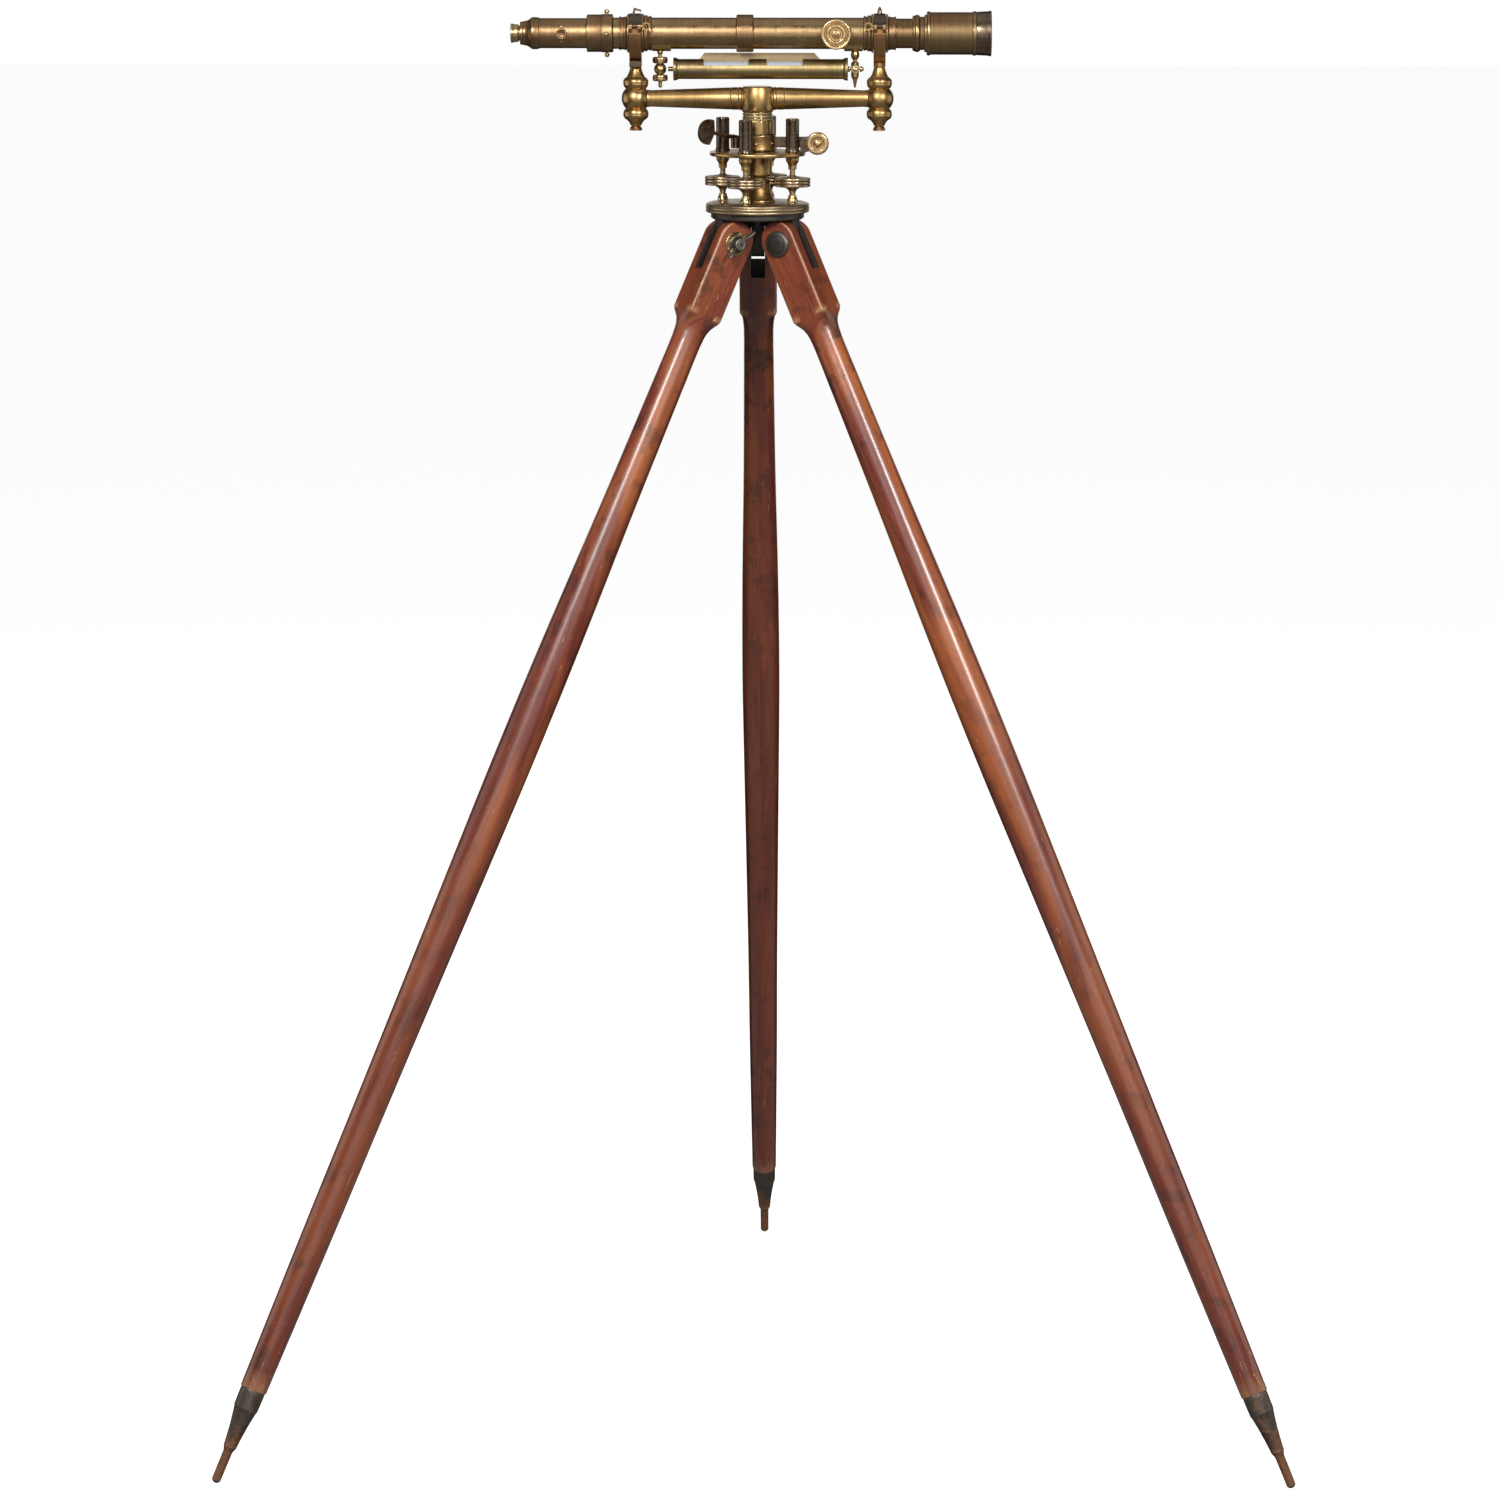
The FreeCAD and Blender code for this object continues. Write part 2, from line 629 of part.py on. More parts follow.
def level_bar():
    """The hub with its sleeve, the two tapered arms and the end balls for the wyes."""
    piece = Piece("level_bar", on_axis(S.bar_z))
    bore = S.tube_r + S.run_fit
    foot = PLATE_TOP - S.bar_z + 1 + S.gap * 2 + S.collar_len
    down = -S.hub_down
    piece.spin(
        [(0, -HUB_ROOM), (bore, -HUB_ROOM), (bore, foot), (S.hub_r, foot), (S.hub_r, down - 9),
         (S.hub_r - 1.6, down - 8.4), (S.hub_r - 0.5, down - 6), (S.hub_r - 2.2, down - 4.5),
         (S.hub_r - 0.5, down - 3), (S.hub_r - 1.8, down), (S.hub_r, down), (S.hub_r, S.hub_up - 2),
         via(S.hub_r - 0.6, S.hub_up - 0.6), (S.hub_r - 2, S.hub_up), (0, S.hub_up)]
    )
    root = S.arm_root_r
    half = [(29, root + 0.6), (30, root), (S.wye_x - 16, S.arm_tip_r), (S.wye_x, S.arm_tip_r), (S.wye_x, 0)]
    other = [(-size(x), radius) for x, radius in reversed(half)]
    piece.spin(half + other, axis="H_Axis")
    shape = S.end_r * 0.735
    for side in (-1, 1):
        place = S.wye_x * side
        piece.spin(
            [(0, -S.end_half), (shape, -S.end_half), via(S.end_r, 0), (shape, S.end_half), (0, S.end_half)],
            aside=place,
        )
        piece.disc(place, 0, S.wye_stem_r + S.run_fit, "XY_Plane", S.end_r * 4, cut=True)


def spindle():
    """The centre that turns in the levelling plate's tube."""
    piece = Piece("spindle", on_axis(S.bar_z))
    end = S.plate_z - S.bar_z - 11
    piece.spin([(0, end), (S.spindle_r - 1, end), (S.spindle_r, end + 1), (S.spindle_r, -HUB_ROOM), (0, -HUB_ROOM)])


RISE = S.scope_z - S.bar_z
HINGE_Y = S.wye_out + 2.5
HINGE_UP = RISE + S.wye_arm_up + 2
KNUCKLE_R = 2.5


def wye(name, side):
    """A wye: stem and foot, neck, cradle, and the knuckles for the clip's pins."""
    piece = Piece(f"wye_{name}", shift(S.wye_x * side, AXIS_Y, S.bar_z))
    stem = S.wye_stem_r
    piece.spin(
        [(0, -36), (7, -36), (7, -33.5), (stem, -31), (stem, 35.2), (6.2, 35.2),
         (6.2, 46), (0, 46)]
    )
    out = S.wye_out
    inner = S.seat_r + S.run_fit
    top = RISE + S.wye_arm_up
    piece.slab(
        [(out, RISE), (out, top), (inner, top), (inner, RISE), via(0, RISE - inner), (-inner, RISE),
         (-inner, top), (-out, top), (-out, RISE), via(-out * 0.85, RISE - out * 0.55),
         (-6, 40), (-5, 36), (5, 36), (6, 40), via(out * 0.85, RISE - out * 0.55)],
        "YZ_Plane", S.wye_w,
    )
    cheek = 3.4
    for way in (-1, 1):
        for face in (-1, 1):
            lift = (S.wye_w / 2 - cheek / 2) * face
            piece.slab(
                [((out - 0.4) * way, top - 6), ((HINGE_Y + KNUCKLE_R) * way, HINGE_UP - 3),
                 ((HINGE_Y + KNUCKLE_R) * way, HINGE_UP), via(HINGE_Y * way, HINGE_UP + KNUCKLE_R),
                 ((HINGE_Y - KNUCKLE_R + 0.3) * way, HINGE_UP), ((out + 0.3) * way, top),
                 ((out - 0.4) * way, top)],
                "YZ_Plane", cheek, lift=lift,
            )
    piece.disc(HINGE_Y, HINGE_UP, S.hinge_pin_r, "YZ_Plane", S.wye_w)
    notch = S.hinge_pin_r + S.gap
    piece.slab(
        [(-HINGE_Y - notch, HINGE_UP), (-HINGE_Y - notch, HINGE_UP + 4),
         (-HINGE_Y + notch, HINGE_UP + 4), (-HINGE_Y + notch, HINGE_UP), via(-HINGE_Y, HINGE_UP - notch)],
        "YZ_Plane", S.wye_w + 2, cut=True,
    )


def clip(name, side):
    """The clip that arches over the telescope, hinged behind and pinned in front."""
    piece = Piece(f"clip_{name}", shift(S.wye_x * side, AXIS_Y, S.bar_z))
    foot = RISE + S.wye_arm_up + S.gap
    near = S.seat_r - 1.1
    outer = S.seat_r + S.gap + S.clip_t
    rim = S.wye_out - 0.4
    high = foot + 3.7
    piece.slab(
        [(near, foot), (rim, foot), (rim, high), (outer - 3, high), via(0, RISE + outer),
         (-outer + 3, high), (-rim, high), (-rim, foot), (-near, foot), via(0, RISE + S.seat_r + S.gap)],
        "YZ_Plane", S.wye_w,
    )
    tab = S.wye_w - 2 * 3.4 - S.gap * 2
    for way in (-1, 1):
        piece.slab(
            [((rim - 1) * way, foot), (HINGE_Y * way, HINGE_UP - KNUCKLE_R),
             via((HINGE_Y + KNUCKLE_R) * way, HINGE_UP), (HINGE_Y * way, HINGE_UP + KNUCKLE_R),
             ((rim - 1) * way, high)],
            "YZ_Plane", tab,
        )
        piece.disc(HINGE_Y * way, HINGE_UP, S.hinge_pin_r + S.run_fit, "YZ_Plane", tab + 2, cut=True)
    crown = RISE + outer - 0.6
    if side > 0:
        piece.spin([(0, crown), (3, crown), (2.4, crown + 4), (1, crown + 7.5), (0, crown + 8)])
    else:
        piece.slab(
            [(-3.5, crown), (-1, crown), (-0.2, crown + 4), (6.5, crown + 2.4), (6.5, crown + 4.4),
             (-2, crown + 7)],
            "XZ_Plane", 3,
        )


def clip_pin(name, side):
    """The pin that locks a clip in front, with a ring to pull it by."""
    piece = Piece(f"clip_pin_{name}", shift(S.wye_x * side, AXIS_Y - HINGE_Y, S.bar_z + HINGE_UP),
                  turn("y", -90 * side))
    half = S.wye_w / 2
    ring_r = 3.9
    wire = 0.9
    centre = half + S.gap + 1 + ring_r + wire
    piece.spin(
        [(0, -half - 1), (S.hinge_pin_r, -half), (S.hinge_pin_r, half + S.gap),
         (2, half + S.gap), (2, half + S.gap + 1.6), (0, half + S.gap + 1.6)]
    )
    piece.disc(0, centre, ring_r + wire, "XZ_Plane", wire * 2)
    piece.disc(0, centre, ring_r - wire, "XZ_Plane", wire * 4, cut=True)


def wye_nuts():
    """Bulb-shaped capstan nuts above and below each end ball."""
    nuts = []
    bore = S.wye_stem_r + S.run_fit
    for side in (-1, 1):
        for way in (-1, 1):
            nut = loose(shift(S.wye_x * side, AXIS_Y, S.bar_z), turn("x", 90 - 90 * way))
            start = S.end_half + 0.05
            long = 11 if way > 0 else 6.5
            nut.spin(
                [(bore, start), (S.nut_r * 0.8, start), via(S.nut_r, start + S.nut_len / 2),
                 (S.nut_r * 0.78, start + S.nut_len), (6.4, start + S.nut_len + long - 1),
                 (6.2, start + S.nut_len + long), (bore, start + S.nut_len + long)]
            )
            nuts.append(nut.body)
    group("wye_nuts", nuts)


# ---- telescope ------------------------------------------------------------------------------

def main_tube():
    """The long brass tube, with a hole in front for the pinion."""
    piece = Piece("main_tube", along_x())
    inner = S.main_r - S.main_wall
    end = S.wye_x + 18
    piece.spin([(inner, -end - 7), (S.main_r, -end - 7), (S.main_r, end), (inner, end)])
    piece.disc(0, S.focus_x, S.pinion_r + 1.4, "XZ_Plane", S.main_r * 2, cut=True, lift=S.main_r)


def wye_collars():
    """The two turned collars whose seats lie in the wyes."""
    collars = []
    inner = S.main_r + 0.05
    half = S.wye_w / 2 + S.gap
    for side in (-1, 1):
        collar = loose(shift(S.wye_x * side, AXIS_Y, S.scope_z), turn("y", 90 * side))
        big = S.ring_r
        collar.spin(
            [(inner, -half - 11.5), (19, -half - 11.5), (19.6, -half - 9), (19, -half - 7),
             (20.2, -half - 6), (20.2, -half - 3.4), (big, -half - 1.6), (big, -half),
             (S.seat_r, -half), (S.seat_r, half), (big, half), (big, half + 2.4),
             via(18.6, half + 6), (19.4, half + 11), (inner, half + 11)]
        )
        collars.append(collar.body)
    group("wye_collars", collars)


def centre_band():
    piece = Piece("centre_band", along_x(-14.2))
    inner = S.main_r + 0.05
    piece.spin(
        [(inner, -9.7), (20.2, -9.7), (21, -8.9), (21, 8.9), (20.2, 9.7), (inner, 9.7)]
    )


RETICLE_START = -(S.wye_x + 25)


def reticle_ring():
    """The reticle's collar between the eyepiece housing and the main tube."""
    piece = Piece("reticle_ring", along_x(RETICLE_START))
    big = S.collar_big_r
    piece.spin(
        [(15.4, -30), (big - 0.6, -30), (big, -29.4), (big, -13), (big + 0.5, -12.4), (big + 0.5, -1),
         (big - 0.6, 0), (15.4, 0)]
    )


def reticle_screws():
    """Four capstan-headed screws that centre the reticle."""
    screws = []
    for quarter in range(4):
        screw = loose(shift(-170, AXIS_Y, S.scope_z), turn("x", 90 * quarter))
        start = S.collar_big_r + 0.5
        screw.spin([(0, start), (1.7, start), (1.7, start + 1), (2.85, start + 1.4),
                    (2.85, start + 3.6), via(2, start + 5), (0.5, start + 5.4), (0, start + 5.4)])
        screws.append(screw.body)
    group("reticle_screws", screws)


def eyepiece_housing():
    """The eye end's tube: bead, flare and barrel round the sliding eyepiece."""
    start = -(S.eye_x - 11)
    piece = Piece("eyepiece_housing", along_x(start))
    bore = S.eye_tube_r + S.run_fit
    stop = RETICLE_START - 30 - start
    piece.spin(
        [(bore, 0), (S.barrel_r - 0.6, 0), (S.barrel_r, 0.8), via(S.barrel_r + 1.6, 8),
         (17.4, 12.6), (17.9, 14), (17.9, 21), (16.9, 22), (16.9, stop), (15.4, stop),
         (15.4, 30), (bore, 30)]
    )
    piece.disc(0, 47.4, 6.2, "XZ_Plane", 4, lift=15.5, middle=False)


def eyepiece_tube():
    """The draw tube with its milled cap."""
    piece = Piece("eyepiece_tube", along_x(-S.eye_x))
    piece.spin(
        [(3.4, 0), (5.4, 0), (6.6, 1), (S.cap_end_r - 0.4, 0.4), (S.cap_end_r, 1.2), (S.cap_end_r, 3),
         (S.cap_end_r - 0.8, 4.4), (S.cap_end_r - 0.8, 8.8), (S.eye_tube_r, 9.6),
         (S.eye_tube_r, 44), (S.eye_tube_r - 1.2, 44), (S.eye_tube_r - 1.2, 6), (3.4, 3)]
    )


def eye_lens():
    piece = Piece("eye_lens", along_x(-S.eye_x))
    radius = S.eye_tube_r - 1.25
    piece.spin([(0, 8.2), (1, 8.2), via(radius * 0.6, 8.6), (radius, 9.4), (radius, 11), (0, 11)])


def pinion_housing():
    """The small domed bearing that carries the focus pinion."""
    piece = Piece("pinion_housing", shift(S.focus_x, AXIS_Y, S.scope_z), turn("x", 90))
    bore = 2 + S.run_fit
    start = S.main_r - 0.5
    piece.spin(
        [(bore, start + 0.6), (4.7, start + 0.6), (4.7, start + 0.5), (9.5, start - 1.6), (9.5, start + 1),
         (6, start + 3.4), (bore, start + 3.4)]
    )
    piece.disc(0, 0, S.main_r + 0.05, "YZ_Plane", 60, cut=True)


TEETH = 8
TOOTH_STEP = 2 * math.pi / TEETH


def focus_knob():
    """The ridged focus knob, its shaft and the pinion's teeth."""
    piece = Piece("focus_knob", shift(S.focus_x, AXIS_Y, S.scope_z), turn("x", 90))
    face = S.main_r + 3.4
    pitch = S.pinion_r * TOOTH_STEP
    root = S.pinion_r - 1
    inside = SLIDE_R - S.slide_wall - 3.6
    piece.spin(
        [(0, inside), (root, inside), (root, inside + 3.6), (2, inside + 3.8), (2, face), (5, face),
         (5, face + 1.6), (S.focus_r - 1.4, face + 1.6), (S.focus_r, face + 3),
         (S.focus_r, face + 6), via(S.focus_r - 1, face + 7.6), (S.focus_r - 3, face + 7),
         (S.focus_r - 5, face + 5.4), (S.focus_r - 6.4, face + 7.4), (S.focus_r - 9, face + 7.4),
         (S.focus_r - 11, face + 5.4), (3.6, face + 6.4), via(2.6, face + 8), (1, face + 8.6),
         (0, face + 8.6)]
    )
    wide = pitch * 0.19
    tooth = piece.slab(
        [(root - 0.5, -wide * 1.3), (S.pinion_r, -wide), (S.pinion_r + 0.6, -wide * 0.5),
         (S.pinion_r + 0.6, wide * 0.5), (S.pinion_r, wide), (root - 0.5, wide * 1.3)],
        "XY_Plane", 3.6, lift=inside, middle=False,
    )
    piece.ring(tooth, TEETH)


def objective_slide():
    """The inner tube with the rack that the pinion drives."""
    piece = Piece("objective_slide", along_x())
    inner = SLIDE_R - S.slide_wall
    start = S.focus_x - 40
    end = S.shade_x - 4.5
    piece.spin([(inner, start), (SLIDE_R, start), (SLIDE_R, end), (inner, end)])
    pitch = S.pinion_r * TOOTH_STEP
    count = 17
    low = S.focus_x - pitch * 11.5
    high = low + pitch * count
    slot_top = -S.pinion_r - 1.4
    slot_low = S.pinion_r + S.rack_gap + 0.7
    piece.slab(
        [(slot_top, low), (slot_low, low), (slot_low, high), (slot_top, high)],
        "XZ_Plane", 8, cut=True, lift=SLIDE_R,
    )
    depth = inner - 0.7
    line = S.pinion_r + S.rack_gap
    wide = pitch * 0.19
    teeth = [(line + 3.4, low), (line + 0.9, low)]
    for number in range(count):
        middle = low + pitch * (number + 0.5) + pitch * 0.5
        if number < count - 1:
            teeth += [(line + 0.9, middle - wide * 1.3), (line - 0.6, middle - wide * 0.6),
                      (line - 0.6, middle + wide * 0.6), (line + 0.9, middle + wide * 1.3)]
    teeth += [(line + 0.9, high), (line + 3.4, high)]
    piece.slab(teeth, "XZ_Plane", 3, lift=depth - 1.4)


def objective_cell():
    """The cell that screws on the slide and holds the lens; the sunshade slips over it."""
    piece = Piece("objective_cell", along_x(S.shade_x))
    seat = S.shade_r - 2.8
    piece.spin(
        [(SLIDE_R + 0.02, -16), (19.4, -16), (20, -14.6), (S.cell_r, -11), (20, -8), (18.5, -6.6),
         (18.5, -3), (seat - S.run_fit, -2.4), (seat - S.run_fit, 24), (15.8, 24), (15.8, 4), (14.4, 4),
         (14.4, -4.4), (SLIDE_R + 0.02, -4.4)]
    )


def objective_lens():
    piece = Piece("objective_lens", along_x(S.shade_x + 4.05))
    piece.spin([(0, 0), (15.75, 0), (15.75, 5), via(8, 7), (1, 7.6), (0, 7.6)])


def sunshade():
    """The slip-on shade with its beads and dark end band."""
    piece = Piece("sunshade", along_x(S.shade_x))
    seat = S.shade_r - 2.8
    out = S.shade_r
    end = S.shade_len
    piece.spin(
        [(seat, 0), (out, 0), (out + 0.9, 1.2), (out + 0.9, 3.6), (out, 5.4), (out, end - 20),
         (out + 1.1, end - 19), (out + 1.1, end - 17), (out + 0.6, end - 16.4), (out + 1.1, end - 4),
         (out + 1.7, end - 2.4), (out + 1.7, end), (out - 1, end), (out - 1, 26), (seat, 26)]
    )


# ---- level vial -----------------------------------------------------------------------------

def along_vial(x=0):
    """A place on the vial's axis, own Z along +X and own X down."""
    return f"{shift(x, AXIS_Y, VIAL_Z)} * {turn('y', 90)}"


def vial_case():
    """The brass case of the level vial with two windows in its top."""
    piece = Piece("vial_case", along_vial(3.5))
    half = S.vial_half - 1.5
    big = S.vial_r + 1.6
    bore = S.glass_r + 0.05
    body = S.vial_r
    piece.spin(
        [(0, -half - 6), (2.6, -half - 6), (2.6, -half), (big, -half), (big, -half + 3),
         via(body + 0.4, -half + 5), (body, -half + 9), (body, half - 9), via(body + 0.4, half - 5),
         (big, half - 3), (big, half), (2.6, half), (2.6, half + 2.4), (0, half + 2.4), (0, half - 8),
         (bore, half - 8), (bore, -half + 8), (0, -half + 8)]
    )
    for low, high in ((-64.5, -13.5), (6.5, 47.5)):
        piece.slab(
            box_outline(-body - 2, -4.2, low, high), "XZ_Plane", body * 2 + 2, cut=True,
        )


def vial_glass():
    piece = Piece("vial_glass", along_vial(3.5))
    half = S.vial_half - 1.5 - 8.5
    piece.spin([(0, -half), (S.glass_r, -half), (S.glass_r, half), (0, half)])


def vial_reflector():
    """The long pale plate behind the vial that shows the bubble."""
    piece = Piece("vial_reflector", shift(2, AXIS_Y + S.vial_r + 0.8, VIAL_Z))
    piece.slab(
        [(-70, 9), (-62, 17.6), (62, 17.6), (70, 9), (64, -2), (-64, -2)], "XZ_Plane", 1.2,
    )


def saddle(piece, side):
    """An arched foot that fits under the main tube, set a little towards the middle."""
    drop = S.vial_drop
    inner = S.main_r + 0.05
    piece.slab(
        [(-12, drop - inner * 0.73), (-10, drop - inner * 0.87 - 1.6), via(0, drop - inner - 2.4),
         (10, drop - inner * 0.87 - 1.6), (12, drop - inner * 0.73), via(0, drop - inner)],
        "YZ_Plane", S.saddle_w, lift=-side * S.saddle_in,
    )


def vial_post_left():
    """The height adjuster: saddle, threaded stud and the ball between two capstan nuts."""
    piece = Piece("vial_post_left", shift(-S.post_x, AXIS_Y, VIAL_Z))
    saddle(piece, -1)
    ball = S.post_ball_r
    top = S.vial_drop - S.main_r - 1
    piece.spin(
        [(0, -21), (1.4, -21), (2.2, -19), (2.2, -6.2), (3.4, -6.2), via(ball, 0), (3.4, 6.2),
         (2.2, 6.2), (2.2, top - 5), via(3.4, top - 2.6), (2.6, top), (0, top)]
    )


def vial_nuts():
    """Two capstan nuts on the adjuster's stud."""
    nuts = []
    for way in (-1, 1):
        nut = loose(shift(-S.post_x, AXIS_Y, VIAL_Z), turn("x", 90 - 90 * way))
        rim = S.post_nut_r
        nut.spin([(2.25, 6.3), (rim - 1.6, 6.3), (rim, 7.6), (rim, 12.4), (rim - 1.6, 13.7), (2.25, 13.7)])
        nuts.append(nut.body)
    group("vial_nuts", nuts)


def vial_post_right():
    """The side adjuster: saddle, ball, neck, block with its two screws and a pointed tip."""
    piece = Piece("vial_post_right", shift(S.post_x, AXIS_Y, VIAL_Z))
    saddle(piece, 1)
    top = S.vial_drop - S.main_r - 1
    piece.spin(
        [(0, -21), (1, -20.6), (2.6, -12), (4.4, -8), (4.4, 7), (2, 9), (2, top - 11.6),
         via(4.75, top - 6.4), (3, top), (0, top)]
    )
    piece.disc(0, 0, 3.4, "XZ_Plane", 16)
    piece.disc(0, 0, 4.4, "XZ_Plane", 8.6)


# ---- the whole ------------------------------------------------------------------------------

def build():
    tripod_head()
    group("leg_bolts", [leg_bolt(angle) for angle in LEGS.values()])
    group("leg_washers", [leg_washer(angle) for angle in LEGS.values()])
    for name, angle in LEGS.items():
        leg(name, angle)
        leg_shoe(name, angle)
        wing_nut(name, angle)
    base_plate()
    ball_housing()
    centre_ball()
    levelling_plate()
    dust_caps()
    tangent_block()
    for number in SCREWS:
        foot_cup(number)
        levelling_screw(number)
    clamp_collar()
    clamp_screw()
    tangent_screw()
    level_bar()
    spindle()
    wye_nuts()
    for name, side in (("left", -1), ("right", 1)):
        wye(name, side)
        clip(name, side)
        clip_pin(name, side)
    main_tube()
    wye_collars()
    centre_band()
    reticle_ring()
    reticle_screws()
    eyepiece_housing()
    eyepiece_tube()
    eye_lens()
    pinion_housing()
    focus_knob()
    objective_slide()
    objective_cell()
    objective_lens()
    sunshade()
    vial_case()
    vial_glass()
    vial_reflector()
    vial_post_left()
    vial_nuts()
    vial_post_right()


def write():
    """Checks every object and writes each sub-part to its own file."""
    DOC.recompute()
    bad = [thing.Label for thing in DOC.Objects if {"Invalid", "Error"} & set(thing.State)]
    if bad:
        raise SystemExit(f"failed objects: {bad}")
    os.makedirs("parts", exist_ok=True)
    for thing in PIECES:
        shape = thing.Shape
        if shape.isNull() or not shape.isValid():
            raise SystemExit(f"bad shape: {thing.Label}")
        shape.exportStep(f"parts/{thing.Label}.step")
    print(len(PIECES), "parts")


build()
write()
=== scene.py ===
import bmesh
import bpy
import json
import math
import numpy as np
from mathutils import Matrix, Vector


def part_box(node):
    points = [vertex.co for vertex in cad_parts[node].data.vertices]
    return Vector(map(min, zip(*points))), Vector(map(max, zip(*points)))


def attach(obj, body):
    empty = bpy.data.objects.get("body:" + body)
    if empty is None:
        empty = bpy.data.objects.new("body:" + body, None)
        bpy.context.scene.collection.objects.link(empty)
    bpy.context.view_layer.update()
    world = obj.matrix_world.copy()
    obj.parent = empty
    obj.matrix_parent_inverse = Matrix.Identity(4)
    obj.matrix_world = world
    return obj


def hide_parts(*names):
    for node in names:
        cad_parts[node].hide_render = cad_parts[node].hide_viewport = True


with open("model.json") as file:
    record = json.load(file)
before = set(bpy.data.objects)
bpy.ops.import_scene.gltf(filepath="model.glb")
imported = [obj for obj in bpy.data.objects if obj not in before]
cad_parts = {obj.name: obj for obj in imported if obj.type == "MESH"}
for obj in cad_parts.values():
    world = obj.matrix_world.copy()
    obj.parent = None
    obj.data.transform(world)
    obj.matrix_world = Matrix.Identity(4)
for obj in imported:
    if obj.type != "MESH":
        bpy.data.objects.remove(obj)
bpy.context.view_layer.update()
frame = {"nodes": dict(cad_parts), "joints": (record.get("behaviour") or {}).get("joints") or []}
nodes = frame["nodes"]
joints = {j["name"]: j for j in frame["joints"]}
mm = 0.001
print("frame loaded:", len(nodes), "nodes")


class Value:
    # wraps a node socket so that maths on it adds Math nodes
    def __init__(self, tree, socket):
        self.tree = tree
        self.socket = socket

    def maths(self, operation, *others, swap=False, clamp=False):
        inputs = [self, *others]
        if swap:
            inputs.reverse()
        return self.tree.node("ShaderNodeMath", dict(operation=operation, use_clamp=clamp), *inputs)

    def __add__(self, other):
        return self.maths("ADD", other)

    def __sub__(self, other):
        return self.maths("SUBTRACT", other)

    def __mul__(self, other):
        return self.maths("MULTIPLY", other)

    def __truediv__(self, other):
        return self.maths("DIVIDE", other)

    def __rsub__(self, other):
        return self.maths("SUBTRACT", other, swap=True)

    def over(self, low, high):
        # 0 below low and 1 above high, straight between
        return ((self - low) / (high - low)).clamped()

    def larger(self, other):
        return self.maths("MAXIMUM", other)

    def clamped(self):
        return self.maths("ADD", 0.0, clamp=True)

    __radd__ = __add__
    __rmul__ = __mul__


class Finish:
    # a material and its Principled shader
    def __init__(self, name, slot):
        self.material = bpy.data.materials.new(name)
        self.material.use_nodes = True
        self.slot = slot
        self.nodes = self.material.node_tree.nodes
        self.links = self.material.node_tree.links
        self.shader = self.nodes["Principled BSDF"]
        coords = self.nodes.new("ShaderNodeTexCoord")
        self.place = Value(self, coords.outputs["Object"])

    def node(self, kind, settings, *inputs, out=0, **named):
        made = self.nodes.new(kind)
        for key, setting in settings.items():
            setattr(made, key, setting)
        for index, value in list(enumerate(inputs)) + [(k.replace("_", " "), v) for k, v in named.items()]:
            self.feed(made.inputs[index], value)
        return Value(self, made.outputs[out])

    def feed(self, socket, value):
        if isinstance(value, Value):
            self.links.new(value.socket, socket)
        elif value is not None:
            socket.default_value = value

    def stretched(self, scale):
        return self.node("ShaderNodeMapping", {}, self.place, Scale=scale)

    def noise(self, scale, detail=4, rough=0.55, where=None, distortion=0.0):
        return self.node("ShaderNodeTexNoise", {}, Vector=where or self.place, Scale=scale,
                         Detail=detail, Roughness=rough, Distortion=distortion)

    def attribute(self, name):
        return self.node("ShaderNodeAttribute", dict(attribute_name=name), out=2)

    def mix(self, amount, first, second):
        made = self.nodes.new("ShaderNodeMix")
        made.data_type = "RGBA"
        self.feed(made.inputs[0], amount)
        for index, colour in ((6, first), (7, second)):
            self.feed(made.inputs[index], colour if isinstance(colour, Value) else (*colour, 1))
        return Value(self, made.outputs[2])

    def bump(self, height, strength, distance):
        return self.node("ShaderNodeBump", {}, Height=height, Strength=strength, Distance=distance)

    def set(self, **values):
        for name, value in values.items():
            if isinstance(value, tuple) and len(value) == 3:
                value = (*value, 1)
            self.feed(self.shader.inputs[name.replace("_", " ")], value)


def agedBrass(name, slot, look):
    # brass with patches of patina, turning marks, grime in the grooves and worn bright edges
    m = Finish(name, slot)
    patches = m.noise(look["patchScale"], 3, 0.6, distortion=0.6).over(0.42, 0.62)
    mottle = m.noise(look["patchScale"] * 6, 6, 0.65).over(0.38, 0.68)
    fine = m.noise(1400, 5, 0.7)
    turning = m.noise(1, 3, 0.6, where=m.stretched(look["turning"]))
    specks = m.noise(520, 2, 0.5).over(0.68, 0.76)
    grime = m.attribute("grime")
    wear = m.attribute("wear")
    colour = m.mix(patches, look["base"], look["patch"])
    colour = m.mix(mottle * look["mottle"], colour, look["dark"])
    colour = m.mix(turning.over(0.35, 0.7) * 0.2, colour, look["bright"])
    dirt = (grime + specks * 0.12 + m.noise(45, 5, 0.7).over(0.58, 0.75) * look["stain"]).clamped()
    colour = m.mix(dirt * 0.85, colour, look["grime"])
    rub = (wear * (mottle * -0.5 + 1.0)).clamped()
    colour = m.mix(rub * look["wear"], colour, look["bright"])
    rough = mottle * 0.14 + fine * 0.06 + turning * 0.08 + dirt * 0.22 - rub * 0.10 + look["rough"]
    height = turning * 0.22 + fine * 0.10 + mottle * 0.35 - dirt * 0.3
    m.set(Base_Color=colour, Roughness=rough, Metallic=(1.0 - dirt * 0.55),
          Normal=m.bump(height, 0.25, 0.0004))
    return m


